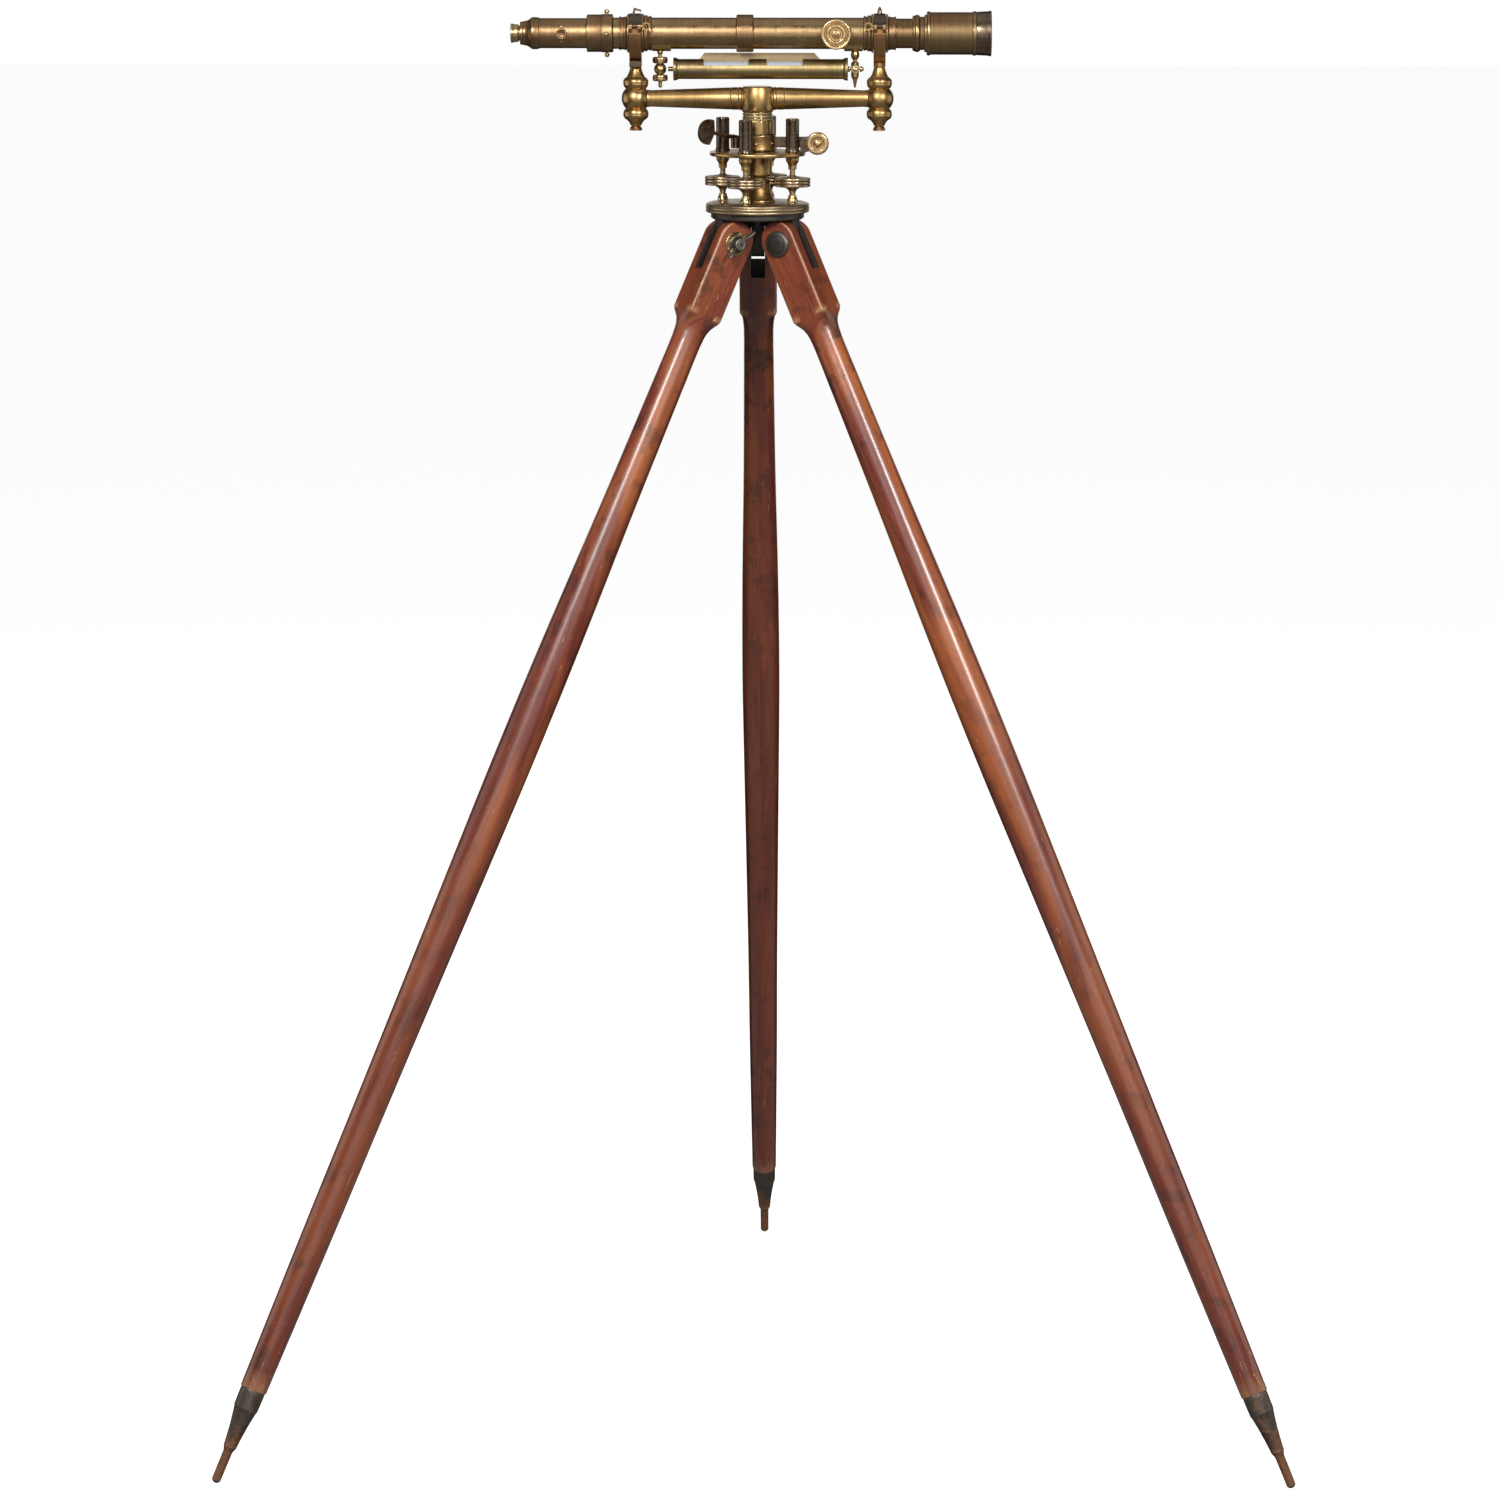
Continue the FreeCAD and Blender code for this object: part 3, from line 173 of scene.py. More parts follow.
tubeLook = dict(base=(0.235, 0.150, 0.066), patch=(0.225, 0.092, 0.046), dark=(0.085, 0.053, 0.026),
                bright=(0.56, 0.40, 0.20), grime=(0.025, 0.016, 0.009), patchScale=11, mottle=0.55,
                stain=0.4, wear=0.75, rough=0.25, turning=(900, 6, 6))
barLook = dict(base=(0.46, 0.285, 0.105), patch=(0.30, 0.165, 0.055), dark=(0.17, 0.095, 0.034),
               bright=(0.78, 0.56, 0.27), grime=(0.045, 0.026, 0.012), patchScale=16, mottle=0.5,
               stain=0.35, wear=0.7, rough=0.23, turning=(700, 5, 5))
paleLook = dict(base=(0.43, 0.32, 0.185), patch=(0.34, 0.26, 0.145), dark=(0.17, 0.12, 0.065),
                bright=(0.64, 0.50, 0.31), grime=(0.05, 0.035, 0.02), patchScale=22, mottle=0.55,
                stain=0.45, wear=0.65, rough=0.29, turning=(5, 5, 900))
goldLook = dict(base=(0.50, 0.345, 0.15), patch=(0.38, 0.25, 0.10), dark=(0.22, 0.135, 0.055),
                bright=(0.80, 0.64, 0.38), grime=(0.05, 0.03, 0.014), patchScale=25, mottle=0.45,
                stain=0.3, wear=0.75, rough=0.21, turning=(6, 6, 900))
vialLook = dict(goldLook, base=(0.36, 0.265, 0.105), patch=(0.235, 0.165, 0.07), dark=(0.14, 0.09, 0.04),
                turning=(900, 6, 6), rough=0.25, patchScale=9, mottle=0.6)
darkLook = dict(base=(0.125, 0.092, 0.068), patch=(0.15, 0.095, 0.062), dark=(0.04, 0.030, 0.023),
                bright=(0.44, 0.34, 0.24), grime=(0.014, 0.011, 0.009), patchScale=30, mottle=0.6,
                stain=0.4, wear=0.55, rough=0.17, turning=(6, 6, 900))
screwLook = dict(paleLook, base=(0.45, 0.31, 0.19), patch=(0.35, 0.23, 0.13), bright=(0.82, 0.64, 0.42),
                 rough=0.24)
greenLook = dict(barLook, patch=(0.33, 0.30, 0.17), grime=(0.34, 0.42, 0.30), stain=0.9)
washerLook = dict(goldLook, mottle=0.2, stain=0.1, base=(0.62, 0.45, 0.20))
strapLook = dict(barLook, base=(0.42, 0.215, 0.095), patch=(0.33, 0.15, 0.065), bright=(0.70, 0.45, 0.24))
# near-black finish: painted shade for holes that are only plugs
holeShadeLook = dict(darkLook, base=(0.030, 0.020, 0.013), patch=(0.022, 0.015, 0.010), wear=0.1)
knobLook = dict(goldLook, base=(0.56, 0.36, 0.16), patch=(0.50, 0.29, 0.12), turning=(26, 26, 26),
                mottle=0.12, stain=0.06)
bladeLook = dict(darkLook, base=(0.20, 0.115, 0.058), patch=(0.15, 0.08, 0.04), turning=(40, 40, 40))

brassTube = agedBrass("brassTube", "tube_brass", tubeLook)
brassBar = agedBrass("brassBar", "bar_brass", barLook)
brassPale = agedBrass("brassPale", "pale_brass", paleLook)
brassGold = agedBrass("brassGold", "bright_brass", goldLook)
brassVial = agedBrass("brassVial", "bright_brass", vialLook)
bronzeDark = agedBrass("bronzeDark", "dark_bronze", darkLook)
brassScrew = agedBrass("brassScrew", "bright_brass", screwLook)
brassGreen = agedBrass("brassGreen", "bar_brass", greenLook)
brassStrap = agedBrass("brassStrap", "bar_brass", strapLook)
brassBlade = agedBrass("brassBlade", "dark_bronze", bladeLook)
brassHoleShade = agedBrass("brassHoleShade", "dark_bronze", holeShadeLook)
brassKnob = agedBrass("brassKnob", "bright_brass", knobLook)
brassWasher = agedBrass("brassWasher", "pale_brass", washerLook)


def mahogany():
    # varnished red-brown wood: grain along the leg, orange patches of painted light, dark stains, pale chips,
    # and slot walls painted near-black as painted shade
    m = Finish("mahogany", "leg_wood")
    uv = m.node("ShaderNodeUVMap", dict(uv_map="grainMap"))
    drawn = lambda across, down: m.node("ShaderNodeMapping", {}, uv, Scale=(across, down, 1))
    grain = m.noise(1, 6, 0.62, where=drawn(260, 9), distortion=1.2)
    broad = m.noise(1, 3, 0.5, where=drawn(28, 3.2), distortion=0.8)
    pores = m.noise(1, 2, 0.5, where=drawn(1500, 60))
    chipField = m.noise(1, 5, 0.75, where=drawn(150, 34), distortion=1.5)
    scratchField = m.noise(1, 3, 0.6, where=drawn(700, 26), distortion=0.6)
    cut = m.attribute("cut")
    stain = m.attribute("stain")
    worn = m.attribute("worn")
    pale = m.attribute("pale")
    colour = m.mix(grain.over(0.3, 0.72), (0.095, 0.017, 0.010), (0.225, 0.044, 0.020))
    # painted light: lighter orange patches where the lamps fall, strongest just below the block and on the
    # two front legs
    colour = m.mix((broad.over(0.40, 0.60) * m.attribute("paintedLight")).clamped(), colour, (0.40, 0.115, 0.030))
    colour = m.mix(pores.over(0.60, 0.72) * 0.45, colour, (0.035, 0.010, 0.006))
    colour = m.mix((stain * m.noise(30, 4, 0.6).over(0.54, 0.62)).clamped() * 0.95, colour,
                   (0.016, 0.010, 0.008))
    chips = (chipField + worn * 0.10).over(0.700, 0.735)
    scratches = (scratchField + worn * 0.06).over(0.715, 0.745)
    bare = chips.larger(scratches * 0.8).larger((pale * grain.over(0.2, 0.6)).clamped())
    colour = m.mix(bare, colour, (0.62, 0.36, 0.16))
    # painted shade: the slot's cut walls are painted near-black to stand for the dark inside the slot
    colour = m.mix(cut * 0.96, colour, (0.012, 0.008, 0.006))
    rough = (bare * 0.30 + pores * 0.10 + stain * 0.12 + cut * 0.5 + 0.27).clamped()
    height = grain * 0.15 - pores.over(0.60, 0.72) * 0.5 - chips - scratches * 0.6
    m.set(Base_Color=colour, Roughness=rough, Normal=m.bump(height, 0.35, 0.0005))
    m.set(Coat_Weight=(1.0 - bare.larger(cut)) * 0.55, Coat_Roughness=0.22)
    return m


def rustyIron(name, slot, base, rustFrom):
    # dark iron with rust; rust grows where the "rust" attribute is high
    m = Finish(name, slot)
    pits = m.noise(420, 6, 0.75)
    patch = m.noise(38, 5, 0.7)
    rust = (patch + m.attribute("rust") * 0.45).over(rustFrom, rustFrom + 0.16)
    colour = m.mix(pits.over(0.35, 0.7), base, tuple(c * 1.9 for c in base))
    colour = m.mix(rust * 0.9, colour, (0.17, 0.062, 0.024))
    colour = m.mix((rust * pits.over(0.5, 0.65)).clamped(), colour, (0.32, 0.14, 0.05))
    colour = m.mix(m.attribute("wear") * 0.6, colour, (0.42, 0.38, 0.33))
    rough = pits * 0.2 + rust * 0.3 + 0.34
    m.set(Base_Color=colour, Roughness=rough, Metallic=(1.0 - rust) * 0.85,
          Normal=m.bump(pits + rust * 0.6, 0.4, 0.0006))
    return m


def clearGlass(name, slot, tint, rough):
    # smooth tinted glass, seen as a glossy surface; light doesn't pass through it
    m = Finish(name, slot)
    smear = m.noise(60, 3, 0.5)
    m.set(Base_Color=m.mix(smear, tint, tuple(c * 0.85 for c in tint)), Roughness=smear * 0.08 + rough,
          Metallic=0.0, IOR=1.5, Specular_IOR_Level=0.8)
    return m


woodLeg = mahogany()
ironShoe = rustyIron("ironShoe", "shoe_iron", (0.085, 0.068, 0.055), 0.56)
ironHead = rustyIron("ironHead", "head_iron", (0.050, 0.043, 0.037), 0.62)
steelSpindle = rustyIron("steelSpindle", "spindle_steel", (0.30, 0.30, 0.30), 0.75)
glassLens = clearGlass("glassLens", "lens_glass", (0.10, 0.13, 0.15), 0.02)
glassVial = clearGlass("glassVial", "vial_glass", (0.42, 0.46, 0.50), 0.10)
print("finishes ready")


def meshFrom(name, points, faces, body, finish, replaces=(), attributes=None, uv=None, sharp=None):
    # puts arrays of points and four-cornered faces into a piece that rides on a body
    mesh = bpy.data.meshes.new(name)
    mesh.vertices.add(len(points))
    mesh.vertices.foreach_set("co", np.asarray(points, np.float32).ravel())
    faces = np.asarray(faces, np.int32)
    mesh.loops.add(faces.size)
    mesh.loops.foreach_set("vertex_index", faces.ravel())
    mesh.polygons.add(len(faces))
    mesh.polygons.foreach_set("loop_start", np.arange(0, faces.size, faces.shape[1], dtype=np.int32))
    mesh.update(calc_edges=True)
    for key, values in (attributes or {}).items():
        mesh.attributes.new(key, "FLOAT", "POINT").data.foreach_set("value", np.asarray(values, np.float32))
    if uv is not None:
        layer = mesh.uv_layers.new(name="grainMap")
        layer.data.foreach_set("uv", np.asarray(uv, np.float32).ravel())
    mesh.validate()
    mesh.shade_smooth()
    if sharp:
        mesh.set_sharp_from_angle(angle=math.radians(sharp))
    piece = bpy.data.objects.new(name, mesh)
    bpy.context.scene.collection.objects.link(piece)
    mesh.materials.append(finish.material)
    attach(piece, body)
    if replaces:
        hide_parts(*replaces)
    return piece


def finePath(outline, soft, closed):
    # follows the outline's runs and bows, with every corner eased by a short curve
    points = []
    for index, entry in enumerate(outline):
        here = np.array(entry[:2], float)
        if len(entry) > 2 and (index or closed):
            before = np.array(outline[index - 1][:2], float)
            along = here - before
            side = np.array([-along[1], along[0]]) / max(np.hypot(*along), 1e-9)
            steps = np.linspace(0, 1, 13)[1:-1]
            points += [before + along * t + side * 4 * t * (1 - t) * entry[2] for t in steps]
        points.append(here)
    points = np.array(points)
    count = len(points)
    eased = []
    for index, here in enumerate(points):
        if not closed and index in (0, count - 1):
            eased.append(here)
            continue
        before, after = points[index - 1], points[(index + 1) % count]
        inLen, outLen = np.hypot(*(here - before)), np.hypot(*(after - here))
        inWay, outWay = (here - before) / max(inLen, 1e-9), (after - here) / max(outLen, 1e-9)
        bend = math.acos(float(np.clip(inWay @ outWay, -1, 1)))
        if bend < 0.35:
            eased.append(here)
            continue
        reach = min(soft, 0.42 * inLen, 0.42 * outLen)
        start, end = here - inWay * reach, here + outWay * reach
        if inLen > reach * 3:
            eased.append(here - inWay * reach * 1.35)
        eased += [start * (1 - t) ** 2 + here * 2 * t * (1 - t) + end * t ** 2 for t in (0, 0.3, 0.7, 1)]
        if outLen > reach * 3:
            eased.append(here + outWay * reach * 1.35)
    return np.array(eased)


def gridFaces(rows, around):
    # four-cornered faces of a grid that closes on itself sideways and is open at its two ends
    number = np.arange(rows * around).reshape(rows, around)
    first, second = number[:-1], number[1:]
    return np.stack([first, np.roll(first, -1, 1), np.roll(second, -1, 1), second], -1).reshape(-1, 4)


def grooves(path, reach=2.2, step=0.15, grimeDepth=0.35, wearDepth=0.30):
    # how far each point of the path lies inside (grime) or outside (wear) its neighbours' mean radius
    gaps = np.hypot(*np.diff(path, axis=0).T)
    run = np.concatenate([[0], np.cumsum(gaps)])
    even = np.linspace(0, run[-1], max(int(run[-1] / step), 8))
    radius = np.interp(even, run, path[:, 1])
    height = np.interp(even, run, path[:, 0])
    width = max(int(reach / step), 3)
    kernel = np.hanning(width * 2 + 1)
    kernel /= kernel.sum()
    padded = lambda v: np.convolve(np.pad(v, width, mode="edge"), kernel, "valid")
    tangent = np.stack([np.gradient(height), np.gradient(radius)], 1)
    tangent /= np.maximum(np.hypot(*tangent.T), 1e-9)[:, None]
    offset = np.stack([padded(height) - height, padded(radius) - radius], 1)
    inward = tangent[:, 0] * offset[:, 1] - tangent[:, 1] * offset[:, 0]
    depth = np.interp(run, even, inward)
    return np.clip(depth / grimeDepth, 0, 1), np.clip(-depth / wearDepth, 0, 1)


def axes(direction):
    # three unit vectors: the direction and two across it
    way = Vector(direction).normalized()
    across = way.orthogonal().normalized()
    return np.array(way), np.array(across), np.array(way.cross(across))


def turned(name, outline, origin, direction, body, finish, replaces=(), soft=0.35, closed=False,
           around=96, ripple=None, extra=None):
    # a turned shape: the outline (distance along, radius) is carried round the axis; ripple(angle,
    # along, radius) may change the radius, as milling does
    path = finePath(outline, soft, closed)
    if closed:
        path = np.vstack([path, path[:1]])
    grime, wear = grooves(path)
    angle = np.linspace(0, 2 * math.pi, around, endpoint=False)
    along, radius = path[:, 0][:, None], np.repeat(path[:, 1][:, None], around, 1)
    if ripple:
        radius = ripple(angle[None, :], along, radius)
    way, across, up = axes(direction)
    points = (np.array(origin)[None, None] + (along * mm)[..., None] * way
              + (radius * mm * np.cos(angle))[..., None] * across
              + (radius * mm * np.sin(angle))[..., None] * up)
    faces = gridFaces(len(path), around)
    spread = lambda v: np.repeat(v[:, None], around, 1).ravel()
    attributes = dict(grime=spread(grime), wear=spread(wear))
    if extra:
        attributes.update({k: spread(f(path[:, 0], path[:, 1])) for k, f in extra.items()})
    piece = meshFrom(name, points.reshape(-1, 3), faces, body, finish, replaces, attributes)
    closeMesh(piece)
    return piece


def closeMesh(piece):
    # merges the seam and the poles, and points every face outwards
    shape = bmesh.new()
    shape.from_mesh(piece.data)
    bmesh.ops.remove_doubles(shape, verts=shape.verts, dist=2e-6)
    bmesh.ops.dissolve_degenerate(shape, dist=1e-7, edges=shape.edges)
    bmesh.ops.recalc_face_normals(shape, faces=shape.faces)
    shape.to_mesh(piece.data)
    shape.free()


def milled(teeth, depth, low, high):
    # a straight milled edge between two places along the axis
    def ripple(angle, along, radius):
        inside = ((along > low) & (along < high)).astype(float)
        return radius - inside * depth * (0.5 + 0.5 * np.cos(teeth * angle))
    return ripple


pivotOf = {name: np.array(j.get("pos_m", (0, 0, 0)), float) for name, j in joints.items()}
plumb = pivotOf["spindle_turn"][:2]
scopeZ = pivotOf["telescope_turn"][2]
barZ = pivotOf["spindle_turn"][2]
ballZ = pivotOf["tilt_along"][2]
baseLow, baseHigh = (corner.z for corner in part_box("base_plate"))
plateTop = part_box("dust_caps")[0].z
tangentZ = pivotOf["tangent_swing"][2]
wyeX = pivotOf["clip_hinge_right"][0]
vialZ = scopeZ - 40 * mm
upright = lambda z: (plumb[0], plumb[1], z)
onScope = lambda x=0.0: (x * mm, plumb[1], scopeZ)
alongX, alongZ, towardsFront = (1, 0, 0), (0, 0, 1), (0, -1, 0)


legLook = dict(half=21.5, slotHalf=8, slotEnd=40, blockUp=3.5, blockEnd=88, shoeStart=1397, length=1509,
               splay=25.74, around=104)


def legFrame(name):
    # the hinge's place and axis, and the unit vector down the leg
    pivot = pivotOf["leg_hinge_" + name]
    tangent = np.array(joints["leg_hinge_" + name]["axis"], float)
    splay = math.radians(legLook["splay"])
    down = np.cross(tangent, (0, 0, 1)) * math.sin(splay) + np.array((0, 0, -1)) * math.cos(splay)
    return pivot, tangent, down


def legShape(name):
    # a leg as a grid: rows go down the leg, columns go round it. Each row is a rounded square whose
    # corners soften from the block to the round shaft; the top follows a circle about the hinge.
    look = legLook
    pivot, tangent, down = legFrame(name)
    face = np.cross(tangent, down)
    half = look["half"]
    rise = look["blockUp"]
    topRows = -rise - half * np.cos(np.linspace(0.02, math.pi / 2, 16))
    block = np.linspace(0, look["blockEnd"], 15)
    cove = np.linspace(look["blockEnd"] + 0.8, 126, 26)
    shaft = np.linspace(135, look["shoeStart"] - 1.2, 110)
    lengthwise = np.concatenate([topRows, block, cove, shaft, [look["shoeStart"] - 0.3, look["shoeStart"]]])
    knots = [(-half, half), (88, half), (93, 21.0), (98, 20.0), (104, 18.9), (111, 17.9), (121, 17.3),
             (140, 17.2),
             (315, 18.8), (461, 21.4), (560, 22.4), (604, 22.5), (650, 22.4), (755, 21.3), (900, 19.7),
             (1045, 18.2), (1190, 17.5), (1286, 16.5), (1383, 15.5), (1397, 15.0)]
    radius = np.interp(lengthwise, *np.array(knots, float).T)
    smooth = np.convolve(np.pad(radius, 4, mode="edge"), np.ones(9) / 9, "valid")
    radius = np.where(lengthwise > 150, smooth, radius)
    radius[-1] -= 0.9
    power = np.interp(lengthwise, [-half, 88, 90, 94, 99, 106], [16, 16, 9, 4.2, 2.5, 2])[:, None]
    aboveHinge = np.minimum(lengthwise + rise, 0)
    inX = np.where(aboveHinge < 0, np.sqrt(np.maximum(half ** 2 - aboveHinge ** 2, 0.01)), radius)
    turn = (np.arange(look["around"]) + 0.5) * 2 * math.pi / look["around"]
    angle = turn + 0.12 * np.sin(4 * turn)
    c, s = np.cos(angle)[None], np.sin(angle)[None]
    reach = (np.abs(c) ** power + np.abs(s) ** power) ** (-1 / power)
    across = inX[:, None] * reach * c
    along = radius[:, None] * reach * s
    points = (pivot + (lengthwise[:, None] * mm)[..., None] * down + (across * mm)[..., None] * face
              + (along * mm)[..., None] * tangent)
    rows, around = across.shape
    faces = gridFaces(rows, around)
    closed = lambda v: np.concatenate([v, v[:, :1]], 1)
    girth = np.hypot(np.diff(closed(across), axis=1), np.diff(closed(along), axis=1)) * mm
    u = np.concatenate([np.zeros((rows, 1)), np.cumsum(girth, 1)], 1)
    v = np.repeat((lengthwise * mm)[:, None], around + 1, 1)
    uv = np.stack([np.stack([w[:-1, :-1], w[:-1, 1:], w[1:, 1:], w[1:, :-1]], -1) for w in (u, v)], -1)
    uv[..., 0] += {"rear": 0.31, "left": 0.62, "right": 0.05}[name]
    uv[..., 1] += {"rear": 2.1, "left": 4.3, "right": 7.7}[name]
    spread = lambda v: np.repeat(np.asarray(v)[:, None], around, 1)
    onBlock = spread(lengthwise < 90)
    corner = np.clip((reach - 1.33) / 0.03, 0, 1) * onBlock
    rim = np.clip((reach - 1.10) / 0.05, 0, 1) * spread(np.exp(-((lengthwise - 88.5) / 1.6) ** 2))
    # how much painted light each leg gets: the two front legs are painted as catching more lamp light than
    # the rear one
    paintedLight = {"rear": 0.45, "left": 0.95, "right": 0.95}[name]
    attributes = dict(
        worn=np.clip(corner + rim + spread(np.interp(lengthwise, [0, 90, 260, 900, 1300, 1397],
                                                     [0.3, 0.35, 0.4, 0.2, 0.3, 0.9])), 0, 1.4).ravel(),
        stain=spread(np.interp(lengthwise, [-21, 60, 130, 240, 700, 1397],
                               [0.75, 0.45, 0.75, 0.45, 0.2, 0.5])).ravel(),
        paintedLight=spread(np.interp(lengthwise, [-21, 100, 150, 450, 800, 1397],
                              [0.25, 0.3, 1.0, 0.8, 0.45, 0.3])).ravel() * paintedLight,
        pale=np.clip(spread(np.exp(-((lengthwise - 1391) / 5) ** 2) * 0.9) + corner * 0.62 + rim * 0.5, 0,
                     1).ravel())
    piece = meshFrom("woodLeg_" + name, points.reshape(-1, 3), faces, "leg_" + name, woodLeg,
                     ["leg_" + name], attributes, uv)
    capEnds(piece)
    cutSlot(piece, pivot, tangent, down, face)


def coordinates(items, key):
    # one row of x, y, z for each vertex or face
    flat = np.zeros(len(items) * 3, np.float32)
    items.foreach_get(key, flat)
    return flat.reshape(-1, 3).astype(float)


def capEnds(piece):
    # closes the two open ends of a grid with single faces and points all faces outwards
    shape = bmesh.new()
    shape.from_mesh(piece.data)
    loose = [e for e in shape.edges if e.is_boundary]
    bmesh.ops.holes_fill(shape, edges=loose, sides=0)
    bmesh.ops.recalc_face_normals(shape, faces=shape.faces)
    shape.to_mesh(piece.data)
    shape.free()


def cutSlot(piece, pivot, tangent, down, face):
    # takes the lug's slot out of the block, right through from face to face, and marks its walls as cut; the
    # wood finish paints these walls near-black as painted shade
    look = legLook
    corners = [(a, b, c) for a in (-30, look["slotEnd"]) for b in (-40, 40)
               for c in (-look["slotHalf"], look["slotHalf"])]
    points = [pivot + (a * down + b * face + c * tangent) * mm for a, b, c in corners]
    faces = [(0, 1, 3, 2), (4, 6, 7, 5), (0, 4, 5, 1), (2, 3, 7, 6), (0, 2, 6, 4), (1, 5, 7, 3)]
    tool = bpy.data.meshes.new("slotTool")
    tool.from_pydata(points, [], faces)
    cutter = bpy.data.objects.new("slotTool", tool)
    bpy.context.scene.collection.objects.link(cutter)
    shape = bmesh.new()
    shape.from_mesh(tool)
    bmesh.ops.recalc_face_normals(shape, faces=shape.faces)
    shape.to_mesh(tool)
    shape.free()
    cut = piece.modifiers.new("slot", "BOOLEAN")
    cut.operation = "DIFFERENCE"
    cut.object = cutter
    cut.solver = "EXACT"
    bpy.context.view_layer.update()
    whole = bpy.data.meshes.new_from_object(piece.evaluated_get(bpy.context.evaluated_depsgraph_get()))
    piece.modifiers.clear()
    piece.data = whole
    spots = coordinates(whole.polygons, "center") - pivot
    margin = 0.05
    inner = ((np.abs(spots @ tangent) < (look["slotHalf"] + margin) * mm)
             & (spots @ down < (look["slotEnd"] + margin) * mm))
    whole.attributes.new("cut", "FLOAT", "FACE").data.foreach_set("value", inner.astype(np.float32))
    whole.polygons.foreach_set("material_index", np.zeros(len(whole.polygons), np.int32))
    while len(whole.materials) > 1:
        whole.materials.pop()
    whole.set_sharp_from_angle(angle=math.radians(38))
    bpy.data.objects.remove(cutter)


def legParts(name):
    legShape(name)
    pivot, tangent, down = legFrame(name)
    start, end = legLook["shoeStart"], legLook["length"]
    outline = [(start, 0), (start, 14.2), (start + 5, 14.25), (start + 22, 14.0), (start + 24, 13.2),
               (start + 69, 7.5, -0.7), (start + 75, 5.3, -0.3), (end - 5, 5.1), (end - 1.6, 3.9, 0.5),
               (end, 1.2, 0.3), (end, 0)]
    rust = lambda along, radius: np.clip((along - start - 30) / 70, 0, 1)
    turned("ironShoe_" + name, outline, pivot, down, "leg_" + name, ironShoe, ["leg_shoe_" + name],
           soft=1.0, around=56, extra=dict(rust=rust))
    wingNut(name, pivot, tangent)


def wingNut(name, pivot, tangent):
    # a turned hub with two bent ears, each a flat swept shape
    face = 24.1
    hub = [(face, 4.06), (face, 8.9), (face + 3, 9.0), (face + 9.4, 6.7, -0.4), (face + 10, 6.0),
           (face + 10, 4.06)]
    body = "wing_nut_" + name
    turned("wingHub_" + name, hub, pivot, tangent, body, ironHead, [body], closed=True, around=48, soft=0.6)
    way, _, _ = axes(tangent)
    up = np.array((0, 0, 1.0))
    level = np.cross(way, up)
    lean = math.radians(40)  # how far the pair of ears is turned from level
    side = level * math.cos(lean) - up * math.sin(lean)
    up = up * math.cos(lean) + level * math.sin(lean)
    t = np.linspace(0, 1, 24)[:, None]
    a = np.linspace(0, 2 * math.pi, 16, endpoint=False)[None]
    for sign in (-1, 1):
        reach = 5.5 + t * 17
        lift = face + 5 + 7.5 * t ** 1.4
        wide = (3.4 + 2.2 * np.sin(t * math.pi * 0.9)) * np.sqrt(np.clip(1.02 - t ** 6, 0, 1))
        thick = (2.3 - 0.6 * t) * np.sqrt(np.clip(1.02 - t ** 8, 0, 1))
        points = (pivot + ((lift + wide * np.cos(a)) * mm)[..., None] * way
                  + ((reach + 0 * a) * mm * sign)[..., None] * side
                  + ((thick * np.sin(a)) * mm)[..., None] * up)
        rows, around = points.shape[:2]
        faces = gridFaces(rows, around)
        tips = {-1: "back", 1: "front"}[sign]
        ear = meshFrom(f"wingEar_{name}_{tips}", points.reshape(-1, 3), faces, body, ironHead,
                       attributes=dict(wear=np.repeat(t, around, 1).ravel() * 0.6))
        capEnds(ear)


for legName in ("rear", "left", "right"):
    legParts(legName)
print("tripod legs ready")


def boltsAndWashers():
    for name in ("rear", "left", "right"):
        pivot, tangent, _ = legFrame(name)
        head = [(-27.4, 0), (-27.4, 1), (-26.4, 10.6, 0.5), (-23.8, 14.7, 0.7), (-21.8, 14.7), (-21.8, 4),
                (34.5, 4), (34.5, 0)]
        turned("hingeBolt_" + name, head, pivot, tangent, "root", ironHead,
               ["leg_bolts"] if name == "rear" else [], around=56, soft=0.5)
        washer = [(21.8, 4.05), (21.8, 13.6), (23.8, 13.6), (23.8, 4.05)]
        turned("brassWasher_" + name, washer, pivot, tangent, "root", brassWasher,
               ["leg_washers"] if name == "rear" else [], closed=True, around=64, soft=0.4)


boltsAndWashers()


